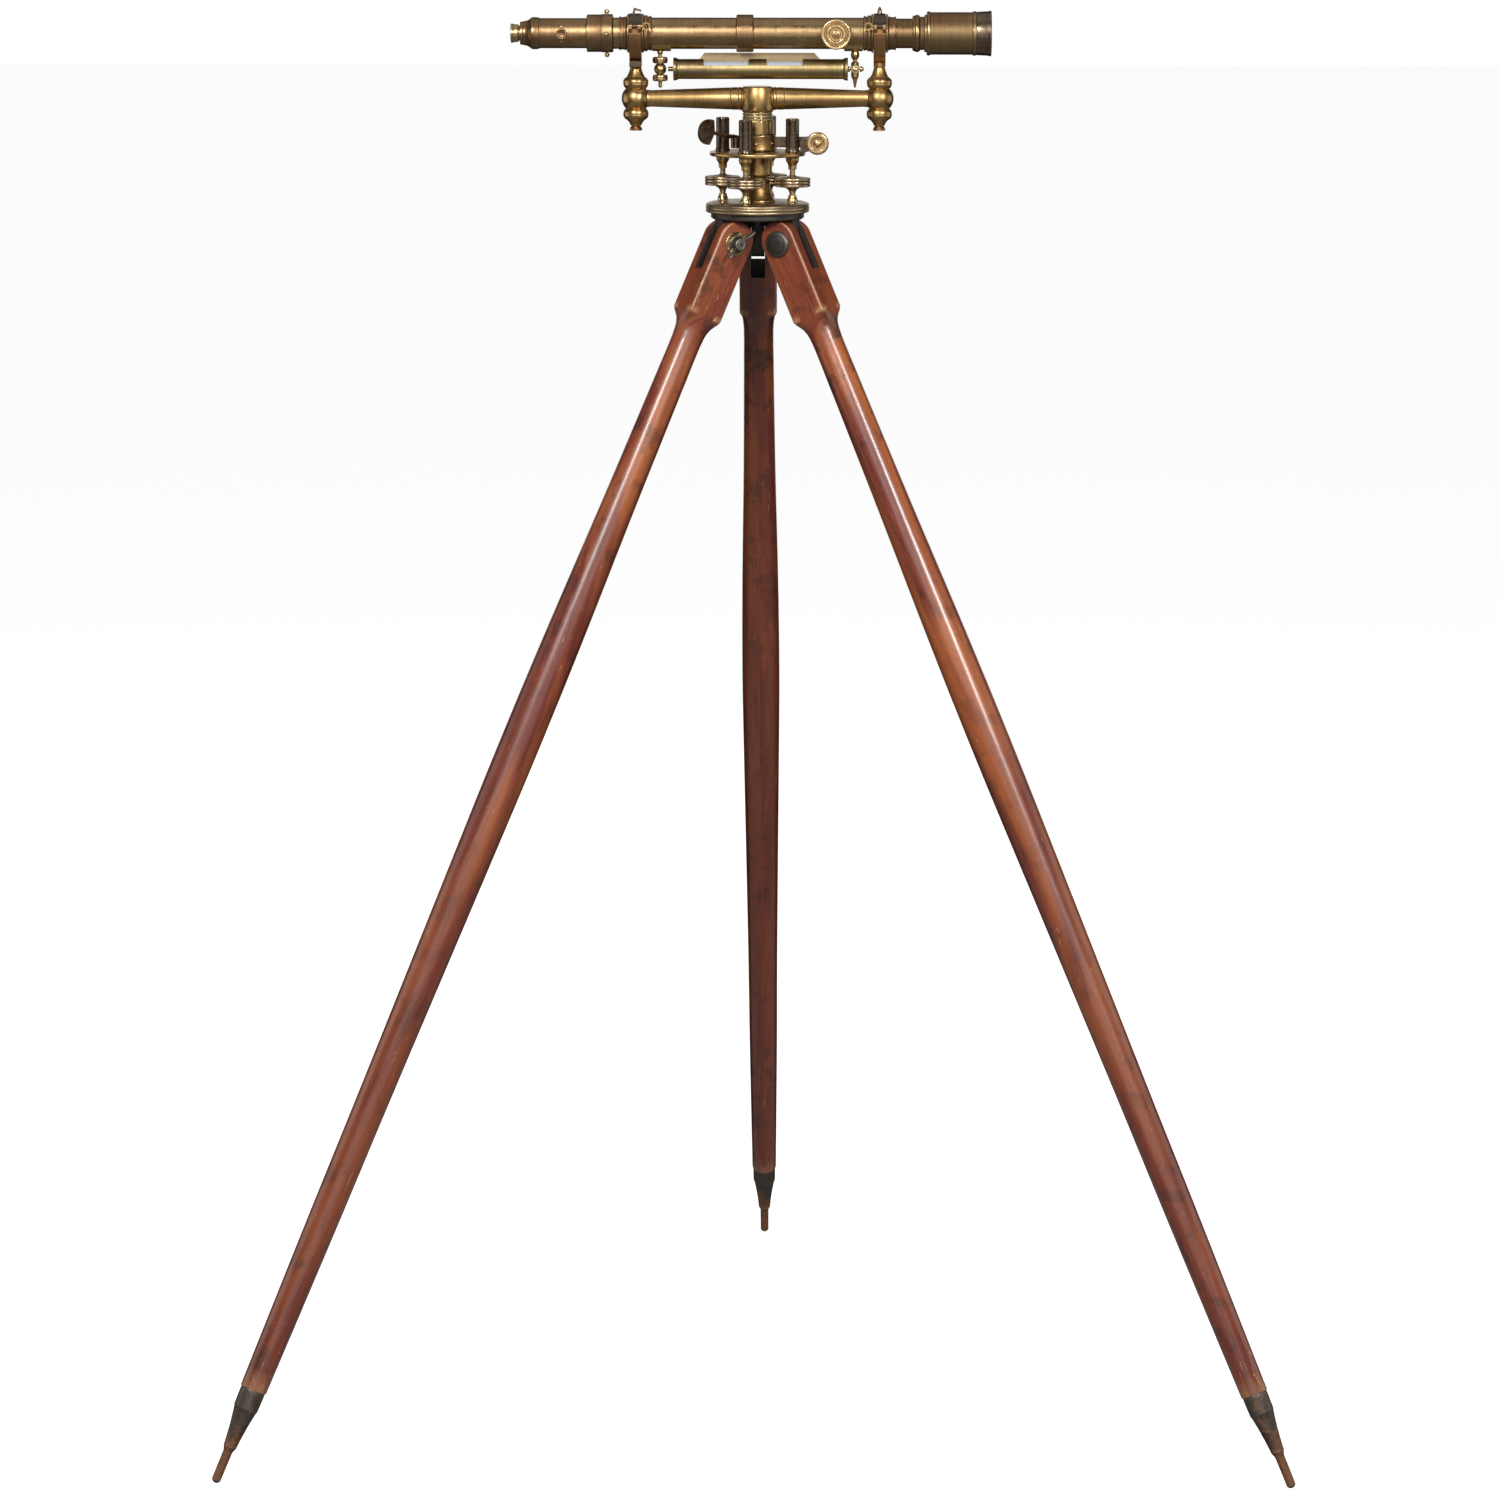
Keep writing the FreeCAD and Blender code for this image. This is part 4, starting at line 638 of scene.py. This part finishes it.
def levellingHead():
    low = baseLow
    rim = 58.93
    plate = [(0, 0), (0, rim - 1.2), (1, rim), (2.5, rim), (3.4, rim - 0.9), (4.3, rim), (6.3, rim),
             (7.2, rim - 0.9), (8.1, rim), (9.7, rim - 0.8), (11.3, 53.4), (11.3, 22), (11.3, 0)]
    turned("lowerPlate", plate, upright(low), alongZ, "root", brassPale, ["base_plate"], around=144, soft=0.5)
    foot = (baseHigh - low) / mm
    housing = [(foot, 10.6), (foot, 20), (foot + 2, 20), (foot + 3, 19), (foot + 22, 14, -1.6),
               (foot + 26, 13), (foot + 26, 10.6)]
    turned("ballCone", housing, upright(low), alongZ, "root", brassBar, ["ball_housing"], closed=True,
           soft=0.7)
    under = (plateTop - ballZ) / mm
    plateLow = under - 4.4
    upper = [(0, 6.6), (0, 10.7), (5, 9.9, 0.4), (8, 9.2), (plateLow - 23, 9.2), (plateLow - 23, 15.4),
             (plateLow - 21.6, 16.3), (plateLow - 3, 16.3), (plateLow, 18.2, -0.9), (plateLow, 53.8),
             (plateLow + 0.9, 54.4), (under - 0.9, 54.4),
             (under, 53.6), (under, 16.2), (under + 0.95, 16), (under + 0.95, 13), (under + 34, 13),
             (under + 34, 9.1), (12, 9.1), (12, 6.6)]
    turned("upperPlate", upper, upright(ballZ), alongZ, "levelling_plate", brassBar, ["levelling_plate"],
           closed=True, around=144, soft=0.5)
    turned("levellingBall", [(-6.4, 0), (-6.4, 0.5), (-4.5, 4.5, 0.5), (0, 6.4, 0.5), (4.5, 4.5, 0.5),
                             (6.4, 0.5, 0.5),
                             (6.4, 0)], upright(ballZ), alongZ, "centre_ball", brassBar, ["centre_ball"],
           around=48)
    for number in range(1, 5):
        levellingScrew(number, under, plateLow)


def levellingScrew(number, under, plateLow):
    x, y = pivotOf[f"levelling_screw_turn_{number}"][:2]
    foot = baseHigh + 0.15 * mm
    boss = [(plateLow - 15, 3.2), (plateLow - 15, 4.6), (plateLow - 12, 4.9), (plateLow - 7, 6.6, -0.7),
            (plateLow - 3.5, 7.5, 0.3), (plateLow - 1.4, 7.5), (plateLow + 0.2, 8.4), (plateLow + 0.2, 3.2)]
    turned(f"screwBoss_{number}", boss, (x, y, ballZ), alongZ, "levelling_plate", brassBar, closed=True,
           around=56)
    cup = [(0, 0), (0, 1), (0.5, 6, 0.05), (3, 6), (4, 5.7), (8.9, 4.4, -0.3), (9, 3.8), (9, 2.7), (4.2, 2.7),
           (4.2, 0)]
    turned(f"screwShoe_{number}", cup, (x, y, foot), alongZ, f"foot_cup_{number}", brassGold,
           [f"foot_cup_{number}"], around=48, soft=0.4)
    low = 17.7
    top = (plateTop - foot) / mm + 28
    disc = [(4.4, 0), (4.4, 2.4), (9.3, 2.4), (9.5, 3.1), (low - 4, 4.3), (low, 12.5, -0.7),
            (low + 0.2, 19.2),
            (low + 1.8, 20.5, 0.5), (low + 3.4, 19.4, 0.5), (low + 3.7, 19.4), (low + 5.3, 20.5, 0.5),
            (low + 6.9, 19.4, 0.5), (low + 7.2, 19.4), (low + 8.8, 20.5, 0.5), (low + 10.4, 19.2, 0.5),
            (low + 10.6, 12.5), (low + 11.8, 5.1, 0.4), (low + 13.6, 3.1), (top, 3.1), (top, 0)]
    turned(f"thumbScrew_{number}", disc, (x, y, foot), alongZ, f"levelling_screw_{number}", brassScrew,
           [f"levelling_screw_{number}"], around=180, soft=0.3,
           ripple=milled(60, 0.05, low + 0.5, low + 10.2))
    cap = [(0, 3.7), (0, 8.3), (2, 8.3), (3, 7.6), (36.2, 7.6), (37.4, 7.0, 0.3), (38, 5.6, 0.15), (38, 0)]
    turned(f"dustCap_{number}", cap, (x, y, plateTop), alongZ, "levelling_plate", bronzeDark,
           ["dust_caps"] if number == 1 else [], around=64, soft=0.5)


levellingHead()
print("levelling head ready")


def hubAndBar():
    foot = (plateTop - barZ) / mm + 19.6
    rings = [(-25, 13.1), (-25, 18.1), (-23.9, 17.2), (-22.6, 16.4), (-21.2, 17.6), (-19.9, 16.4),
             (-18.9, 16.0), (-17.6, 17.6), (-16.3, 16.2), (-14.8, 16.6), (-14.8, 13.1)]
    turned("hubRings", rings, upright(barZ), alongZ, "level_bar", brassGreen, closed=True, around=112,
           soft=0.5)
    sleeve = [(foot, 13.1), (foot, 18.1), (-25.05, 18.1), (-25.05, 13.1)]
    turned("hubSleeve", sleeve, upright(barZ), alongZ, "level_bar", brassBar, closed=True, around=112,
           soft=0.5)
    hub = [(-14.75, 0), (-14.75, 17.6), (-14.2, 17.9), (11.6, 17.9, 1.5),
           (13, 17.2, 0.2), (13.6, 16), (13.6, 0)]
    turned("barHub", hub, upright(barZ), alongZ, "level_bar", brassBar, ["level_bar"], around=112, soft=0.6)
    for sign in (-1, 1):
        side = "left" if sign < 0 else "right"
        arm = [(8, 0), (8, 10.8), (17.6, 10.8), (18, 12.6), (19.4, 13.3), (20.8, 12.8), (21.4, 12.2),
               (22.2, 12.7),
               (29.6, 12.6), (30.4, 11.9), (31.2, 12.4), (121, 9.3), (123.6, 9.8), (126, 9.3), (133, 9.3),
               (133, 0)]
        turned("barArm_" + side, arm, upright(barZ), (sign, 0, 0), "level_bar", brassBar, around=80, soft=0.7)
        ball = [(-11, 5.1), (-11, 11.6), (0, 16.2, 1.25), (11, 11.6, 1.25), (11, 5.1)]
        origin = (sign * wyeX, plumb[1], barZ)
        turned("endBall_" + side, ball, origin, alongZ, "level_bar", brassBar, closed=True, around=80,
               soft=0.8)
        upper = [(11.05, 5.1), (11.05, 11.2), (17.5, 14.2, 1.1), (23.4, 11.6, 1.1), (24.2, 10.4),
                 (34.4, 6.4, -0.5), (35, 6.0), (35, 5.1)]
        lower = [(11.05, 5.1), (11.05, 11.2), (17.5, 14.2, 1.1), (23.4, 11.4, 1.1), (24.2, 10.2),
                 (30, 6.3, -0.5), (30.5, 6.0), (30.5, 5.1)]
        turned("wyeNutTop_" + side, upper, origin, alongZ, "level_bar", brassBar,
               ["wye_nuts"] if sign < 0 else [], closed=True, around=80, soft=0.6)
        turned("wyeNutLow_" + side, lower, origin, (0, 0, -1), "level_bar", brassBar, closed=True, around=80,
               soft=0.6)
        if sign < 0:
            wyeBand(side)
        for height in (17.5, -17.5):
            capstanHoles(side, origin, height)


def capstanHoles(side, origin, height):
    # dark round plugs let into the nut, which read as its tommy-bar holes; their near-black is painted shade
    # standing for the holes' depth
    level = "top" if height > 0 else "low"
    for turn in range(4):
        angle = math.radians(20 + 90 * turn + (12 if height > 0 else -14))
        way = (math.sin(angle), -math.cos(angle), 0)
        start = (origin[0], origin[1], origin[2] + height * mm)
        hole = [(12.6, 0), (12.6, 2.1), (14.25, 2.1), (14.25, 1.8), (13.0, 1.7), (13.0, 0)]
        turned(f"nutHole_{side}_{level}_{turn}", hole, start, way, "level_bar", brassHoleShade, around=24,
               soft=0.1)


def wyeBand(side):
    # a blackened sleeve low on the strap: a rounded rectangle carried up through five levels
    spots = coordinates(nodes["wye_" + side].data.vertices, "co")
    foot = barZ + 35.4 * mm
    searched = 12 * mm
    near = spots[(spots[:, 2] > foot) & (spots[:, 2] < foot + searched)]
    low, high = near.min(0), near.max(0)
    centre, half = (low + high)[:2] / 2, (high - low)[:2] / 2 + 0.2 * mm
    rise = np.array([0, 0.4, 3.6, 6.8, 7.2]) * mm
    inset = np.array([0.35, 0, 0, 0, 0.35]) * mm
    around, power = 64, 14
    angle = np.linspace(0, 2 * math.pi, around, endpoint=False) + 0.05
    c, s = np.cos(angle)[None], np.sin(angle)[None]
    reach = (np.abs(c) ** power + np.abs(s) ** power) ** (-1 / power)
    x = centre[0] + (half[0] - inset[:, None]) * reach * c
    y = centre[1] + (half[1] - inset[:, None]) * reach * s
    z = foot + np.repeat(rise[:, None], around, 1)
    band = meshFrom("wyeBand_" + side, np.stack([x, y, z], -1).reshape(-1, 3), gridFaces(len(rise), around),
                    "level_bar", bronzeDark)
    capEnds(band)
    band.data.set_sharp_from_angle(angle=math.radians(30))


def clampAndTangent():
    low = (plateTop - tangentZ) / mm + 1.3
    top = low + 18
    collar = [(low, 13.1), (low, 19.6), (low + 0.7, 20.3), (low + 3, 20.3), (low + 3.6, 20.1),
              (top - 3.6, 20.1), (top - 3, 20.3), (top - 0.7, 20.3), (top, 19.6), (top, 13.1)]
    turned("clampRing", collar, upright(tangentZ), alongZ, "clamp_collar", brassBar, closed=True, around=96,
           soft=0.4)
    # two small marks on the collar: a near-black disc painted as the shade inside a screw hole, with a bright
    # gold dot at its centre as a painted glint
    for name, turn in (("front", -6), ("side", 60)):
        way = (math.sin(math.radians(turn)), -math.cos(math.radians(turn)), 0)
        place = upright(tangentZ + (low + 8) * mm)
        hole = [(19.4, 0), (19.4, 3.2), (20.6, 3.2), (20.6, 1.7), (20.0, 1.6), (20.0, 0)]
        turned("clampHole_" + name, hole, place, way, "clamp_collar", bronzeDark, around=32, soft=0.1)
        dot = [(20.0, 0), (20.0, 1.55), (20.7, 1.4, 0.2), (21.0, 0.4), (21.0, 0)]
        turned("clampDot_" + name, dot, place, way, "clamp_collar", brassGold, around=24, soft=0.1)
    knob = [(-20, 0), (-20, 4), (-16.3, 4), (-16.3, 2.5), (16.3, 2.5), (16.3, 4.5), (18.6, 4.8), (19, 11.6),
            (20.2, 12.8), (25.6, 12.8), (28, 10.9, 0.5), (28, 7.8), (26.2, 6.9), (26, 5.2), (27.8, 3.8, 0.4),
            (29, 1, 0.3), (29, 0)]
    turned("tangentKnob", knob, pivotOf["tangent_screw_turn"], towardsFront, "tangent_screw", brassKnob,
           ["tangent_screw"], around=128, soft=0.4)


hubAndBar()
clampAndTangent()
print("hub and bar ready")


def telescopeTubes():
    end = 155.6
    turned("mainTube", [(-162.6, 16.7), (-162.6, 17.6), (end, 17.6), (end, 16.7)], onScope(), alongX,
           "telescope", brassTube, ["main_tube"], closed=True, around=128, soft=0.3)
    for sign in (-1, 1):
        side = "left" if sign < 0 else "right"
        collar = [(-18.5, 17.65), (-18.5, 18.7), (-17.4, 19.5), (-16.2, 19.5), (-15.4, 18.8), (-14.2, 18.8),
                  (-13.2, 20.2), (-10.6, 20.2), (-10.2, 19.7), (-8.8, 21.7), (-7.2, 21.7), (-7.05, 18.5),
                  (7.05, 18.5), (7.2, 21.7), (8.9, 21.7), (9.5, 20.4), (12, 18.7, -0.6), (15.4, 18.2, -0.2),
                  (17.2, 18.6), (18.45, 19.2), (18.45, 17.65)]
        turned("wyeCollar_" + side, collar, (sign * wyeX, plumb[1], scopeZ), (sign, 0, 0), "telescope",
               brassTube, ["wye_collars"] if sign < 0 else [], closed=True, around=112, soft=0.35)
    turned("middleBand", [(-23.9, 17.65), (-23.9, 20.1), (-23, 21), (-5.4, 21), (-4.5, 20.1), (-4.5, 17.65)],
           onScope(), alongX, "telescope", brassTube, ["centre_band"], closed=True, around=112, soft=0.5)
    turned("reticleCollar", [(-192.6, 15.4), (-192.6, 20.4), (-192, 21), (-176, 21), (-175.2, 21.5),
                             (-164, 21.5),
                             (-163.2, 20.9), (-162.6, 20.2), (-162.6, 15.4)], onScope(), alongX, "telescope",
           brassTube, ["reticle_ring"], closed=True, around=112, soft=0.4)
    for turn in range(4):
        way = ((0, -1, 0), (0, 0, 1), (0, 1, 0), (0, 0, -1))[turn]
        head = [(20.6, 0), (20.6, 1.7), (22.3, 1.7), (22.9, 2.85), (25.0, 2.85), (26.2, 1.9, 0.2),
                (26.8, 0.5, 0.1), (26.8, 0)]
        turned(f"reticleScrew_{turn}", head, onScope(-170), way, "telescope", brassGold,
               ["reticle_screws"] if turn == 0 else [], around=32, soft=0.25)


def eyeEnd():
    housing = [(-268, 8.6), (-268, 12.5), (-267.3, 13), (-264.6, 13.1), (-263.8, 13.6), (-255.6, 17.3, -0.9),
               (-254.4, 17.9), (-250.4, 18.0, 0.15), (-247, 17.7), (-246, 16.9), (-192.7, 16.9),
               (-192.7, 15.4), (-238, 15.4), (-238, 8.6)]
    turned("eyeHousing", housing, onScope(), alongX, "telescope", brassTube, ["eyepiece_housing"],
           closed=True, around=112, soft=0.4)
    plugX = -220.6
    plug = [(15.8, 0), (15.8, 6.2), (18.6, 6.2), (19.3, 5.6, 0.1), (19.3, 4.6), (18.5, 3.2, -0.2),
            (18.1, 0, -0.1)]
    turned("eyePlug", plug, onScope(plugX), towardsFront, "telescope", brassTube, around=56, soft=0.3)
    for sign in (-1, 1):
        name = "high" if sign > 0 else "low"
        lean = math.radians(31 * sign)
        way = (0, -math.cos(lean), math.sin(lean))
        dot = [(16.3, 0), (16.3, 1.3), (17.2, 1.3), (17.5, 0.7, 0.08), (17.55, 0)]
        turned("plugScrew_" + name, dot, onScope(plugX), way, "telescope", brassGold, around=20, soft=0.15)
    cap = [(-276, 3.4), (-279, 5.4, 0.2), (-278, 6.6), (-278.6, 10.2), (-278.1, 10.8), (-276.4, 10.8),
           (-274.8, 10.0), (-270.4, 10.0), (-269.4, 8.5), (-235, 8.5), (-235, 7.3), (-273, 7.3)]
    turned("eyeCap", cap, onScope(), alongX, "eyepiece", brassGold, ["eyepiece_tube"], closed=True, around=96,
           soft=0.3)


def objectiveEnd():
    start = 190.5
    cell = [(-16, 16.7), (-16, 19.2), (-15.2, 19.6), (-13.6, 20.0), (-10.6, 21, 0.25), (-8, 20, 0.25),
            (-6.9, 18.7),
            (-3, 18.5), (-2.4, 20.9), (24, 20.9), (24, 15.8), (4, 15.8), (4, 14.4), (-4.4, 14.4),
            (-4.4, 16.7)]
    turned("objectiveCell", cell, onScope(start), alongX, "objective", brassTube, ["objective_cell"],
           closed=True, around=112, soft=0.35)
    lens = [(4.05, 0), (4.05, 15.7), (9, 15.7), (11.2, 8, 0.3), (11.6, 1, 0.1), (11.6, 0)]
    turned("frontLens", lens, onScope(start), alongX, "objective", glassLens, ["objective_lens"], around=64)
    shade = [(0, 21.0), (0, 23.6), (0.5, 24.1), (1.4, 24.7, 0.15), (3.4, 24.7, 0.15), (4.6, 23.8),
             (51.6, 23.8), (52.4, 24.9), (55.4, 24.9), (56.1, 24.3), (56.1, 22.8), (26, 22.8), (26, 21.0)]
    turned("sunShade", shade, onScope(start), alongX, "sunshade", brassTube, ["sunshade"], closed=True,
           around=128, soft=0.4)
    rim = [(56.15, 22.8), (56.15, 24.2), (57, 24.4), (69, 24.9), (70.4, 25.5), (73, 25.5), (73, 22.8)]
    turned("shadeRim", rim, onScope(start), alongX, "sunshade", bronzeDark, closed=True, around=128, soft=0.4)
    drum = pivotOf["focus_knob_turn"]
    face = 21.0
    knob = [(11.8, 0), (11.8, 2.0), (face, 2), (face, 5), (face + 1.6, 5.2), (face + 1.8, 15.4),
            (face + 3, 17), (face + 5.8, 17), (face + 7.4, 15.8, 0.4), (face + 7.2, 14), (face + 5.6, 12.4),
            (face + 5.6, 11.4),
            (face + 7.3, 10.2, 0.2), (face + 7.3, 8.6), (face + 5.4, 7.2), (face + 5.4, 5.2),
            (face + 6.6, 4.4),
            (face + 6.9, 3.4), (face + 8.2, 2.4, 0.3), (face + 8.55, 0.8, 0.1), (face + 8.55, 0)]
    turned("focusKnob", knob, drum, towardsFront, "focus_knob", brassKnob, ["focus_knob"], around=160,
           soft=0.3, ripple=milled(84, 0.08, face + 3.1, face + 5.7))
    screw = [(face + 6.7, 0), (face + 6.7, 2.6), (face + 8.3, 2.5), (face + 8.6, 1.4, 0.1), (face + 8.6, 0)]
    copper = dict(goldLook, base=(0.36, 0.15, 0.10), patch=(0.30, 0.12, 0.08), bright=(0.55, 0.30, 0.2))
    turned("knobScrew", screw, drum, towardsFront, "focus_knob",
           agedBrass("copperScrew", "bright_brass", copper),
           around=32, soft=0.2)


telescopeTubes()
eyeEnd()
objectiveEnd()
print("telescope ready")


def vialPosts():
    postX = 110 * mm
    for sign in (-1, 1):
        nut = [(6.35, 2.3), (6.35, 6.9), (7.4, 8.5), (10, 8.6, 0.1), (12.6, 8.5, 0.1), (13.65, 6.9),
               (13.65, 2.3)]
        name = "high" if sign > 0 else "low"
        turned("postNut_" + name, nut, (-postX, plumb[1], vialZ), (0, 0, sign), "telescope", brassGold,
               ["vial_nuts"] if sign < 0 else [], closed=True, around=72, soft=0.5)
    side = [(4.3, 0), (4.3, 1.5), (5.2, 1.5), (5.6, 3.0), (7.6, 3.2, 0.15), (8.4, 2.2), (9.6, 1.7),
            (10, 0.9), (10, 0)]
    for sign in (-1, 1):
        name = "inner" if sign < 0 else "outer"
        turned("sideScrew_" + name, side, (postX, plumb[1], vialZ), (sign, 0, 0), "telescope", brassGold,
               around=40, soft=0.3)
    front = [(4.4, 0), (4.4, 3.9), (7.8, 4.2, 0.2), (8.0, 2.4), (9.2, 2.2), (9.6, 1.0), (9.6, 0)]
    turned("blockScrew", front, (postX, plumb[1], vialZ), towardsFront, "telescope", brassGold, around=90,
           soft=0.25, ripple=milled(22, 0.35, 4.6, 7.6))


vialPosts()


finishOf = dict(
    tripod_head=ironHead, spindle=steelSpindle, clamp_collar=bronzeDark, clamp_screw=brassBlade,
    tangent_block=bronzeDark, wye_left=brassStrap, wye_right=brassStrap, clip_left=bronzeDark,
    clip_right=bronzeDark, clip_pin_left=brassGold, clip_pin_right=brassGold, pinion_housing=brassTube,
    objective_slide=brassTube, vial_case=brassVial, vial_glass=glassVial, vial_reflector=brassPale,
    vial_post_left=brassGold, vial_post_right=brassGold, eye_lens=glassLens)
for nodeName, finish in finishOf.items():
    slots = nodes[nodeName].data.materials
    slots.clear()
    slots.append(finish.material)


def room():
    # the sky and the floor only show behind the instrument; the lamps alone light it
    bpy.ops.mesh.primitive_plane_add(size=60, location=(0, 0, 0))
    floor = bpy.context.object
    floor.name = "floor"
    paint = bpy.data.materials.new("paleFloor")
    paint.use_nodes = True
    surface = paint.node_tree.nodes["Principled BSDF"].inputs
    surface["Base Color"].default_value = (0.35, 0.35, 0.35, 1)
    surface["Roughness"].default_value = 0.9
    surface["Emission Color"].default_value = (1, 1, 1, 1)
    surface["Emission Strength"].default_value = 0.96
    paint.cycles.emission_sampling = "NONE"
    floor.data.materials.append(paint)
    floor.visible_glossy = False
    floor.visible_diffuse = False
    world = bpy.data.worlds.new("studio")
    bpy.context.scene.world = world
    world.use_nodes = True
    sky = world.node_tree.nodes["Background"]
    sky.inputs["Color"].default_value = (1, 1, 1, 1)
    sky.inputs["Strength"].default_value = 1
    world.cycles_visibility.diffuse = False
    world.cycles_visibility.glossy = False


def lamp(name, place, aim, size, power):
    light = bpy.data.lights.new(name, "AREA")
    light.shape = "RECTANGLE"
    light.size, light.size_y = size
    light.energy = power
    holder = bpy.data.objects.new(name, light)
    bpy.context.scene.collection.objects.link(holder)
    holder.location = place
    holder.rotation_euler = (Vector(aim) - Vector(place)).to_track_quat("-Z", "Y").to_euler()
    holder.visible_camera = False


lampSet = dict(
    key=((-0.9, -2.9, 2.9), (0.6, 0.8), 84), second=((1.5, -2.8, 2.6), (0.45, 0.8), 66),
    front=((0.3, -5.6, 1.4), (5.0, 3.8), 40), above=((0, 0.2, 4.6), (4.2, 4.2), 30),
    leftSide=((-4.2, 0, 1.4), (3.4, 2.6), 28), rightSide=((4.2, 0, 1.4), (3.4, 2.6), 28),
    behind=((0, 4.4, 1.8), (5, 3), 46), bounce=((0, -0.4, 0.02), (3.6, 3.6), 9))
lampAim = (0, 0, 1.2)
cameraSet = dict(distance=5.898, height=1.863, lens=124.46, turn=0.8, pitch=10.48, pan=0.083)


def camera():
    look = cameraSet
    data = bpy.data.cameras.new("view")
    data.lens = look["lens"]
    data.sensor_width = 36
    holder = bpy.data.objects.new("view", data)
    bpy.context.scene.collection.objects.link(holder)
    turn = math.radians(look["turn"])
    holder.location = (plumb[0] + look["distance"] * math.sin(turn),
                       plumb[1] - look["distance"] * math.cos(turn),
                       look["height"])
    holder.rotation_euler = (math.radians(90 - look["pitch"]), 0, turn + math.radians(look["pan"]))
    bpy.context.scene.camera = holder
    bpy.context.scene.view_settings.view_transform = "Standard"


room()
for lampName, (lampPlace, lampSize, lampPower) in lampSet.items():
    lamp(lampName, lampPlace, lampAim, lampSize, lampPower)
camera()
print("room ready")
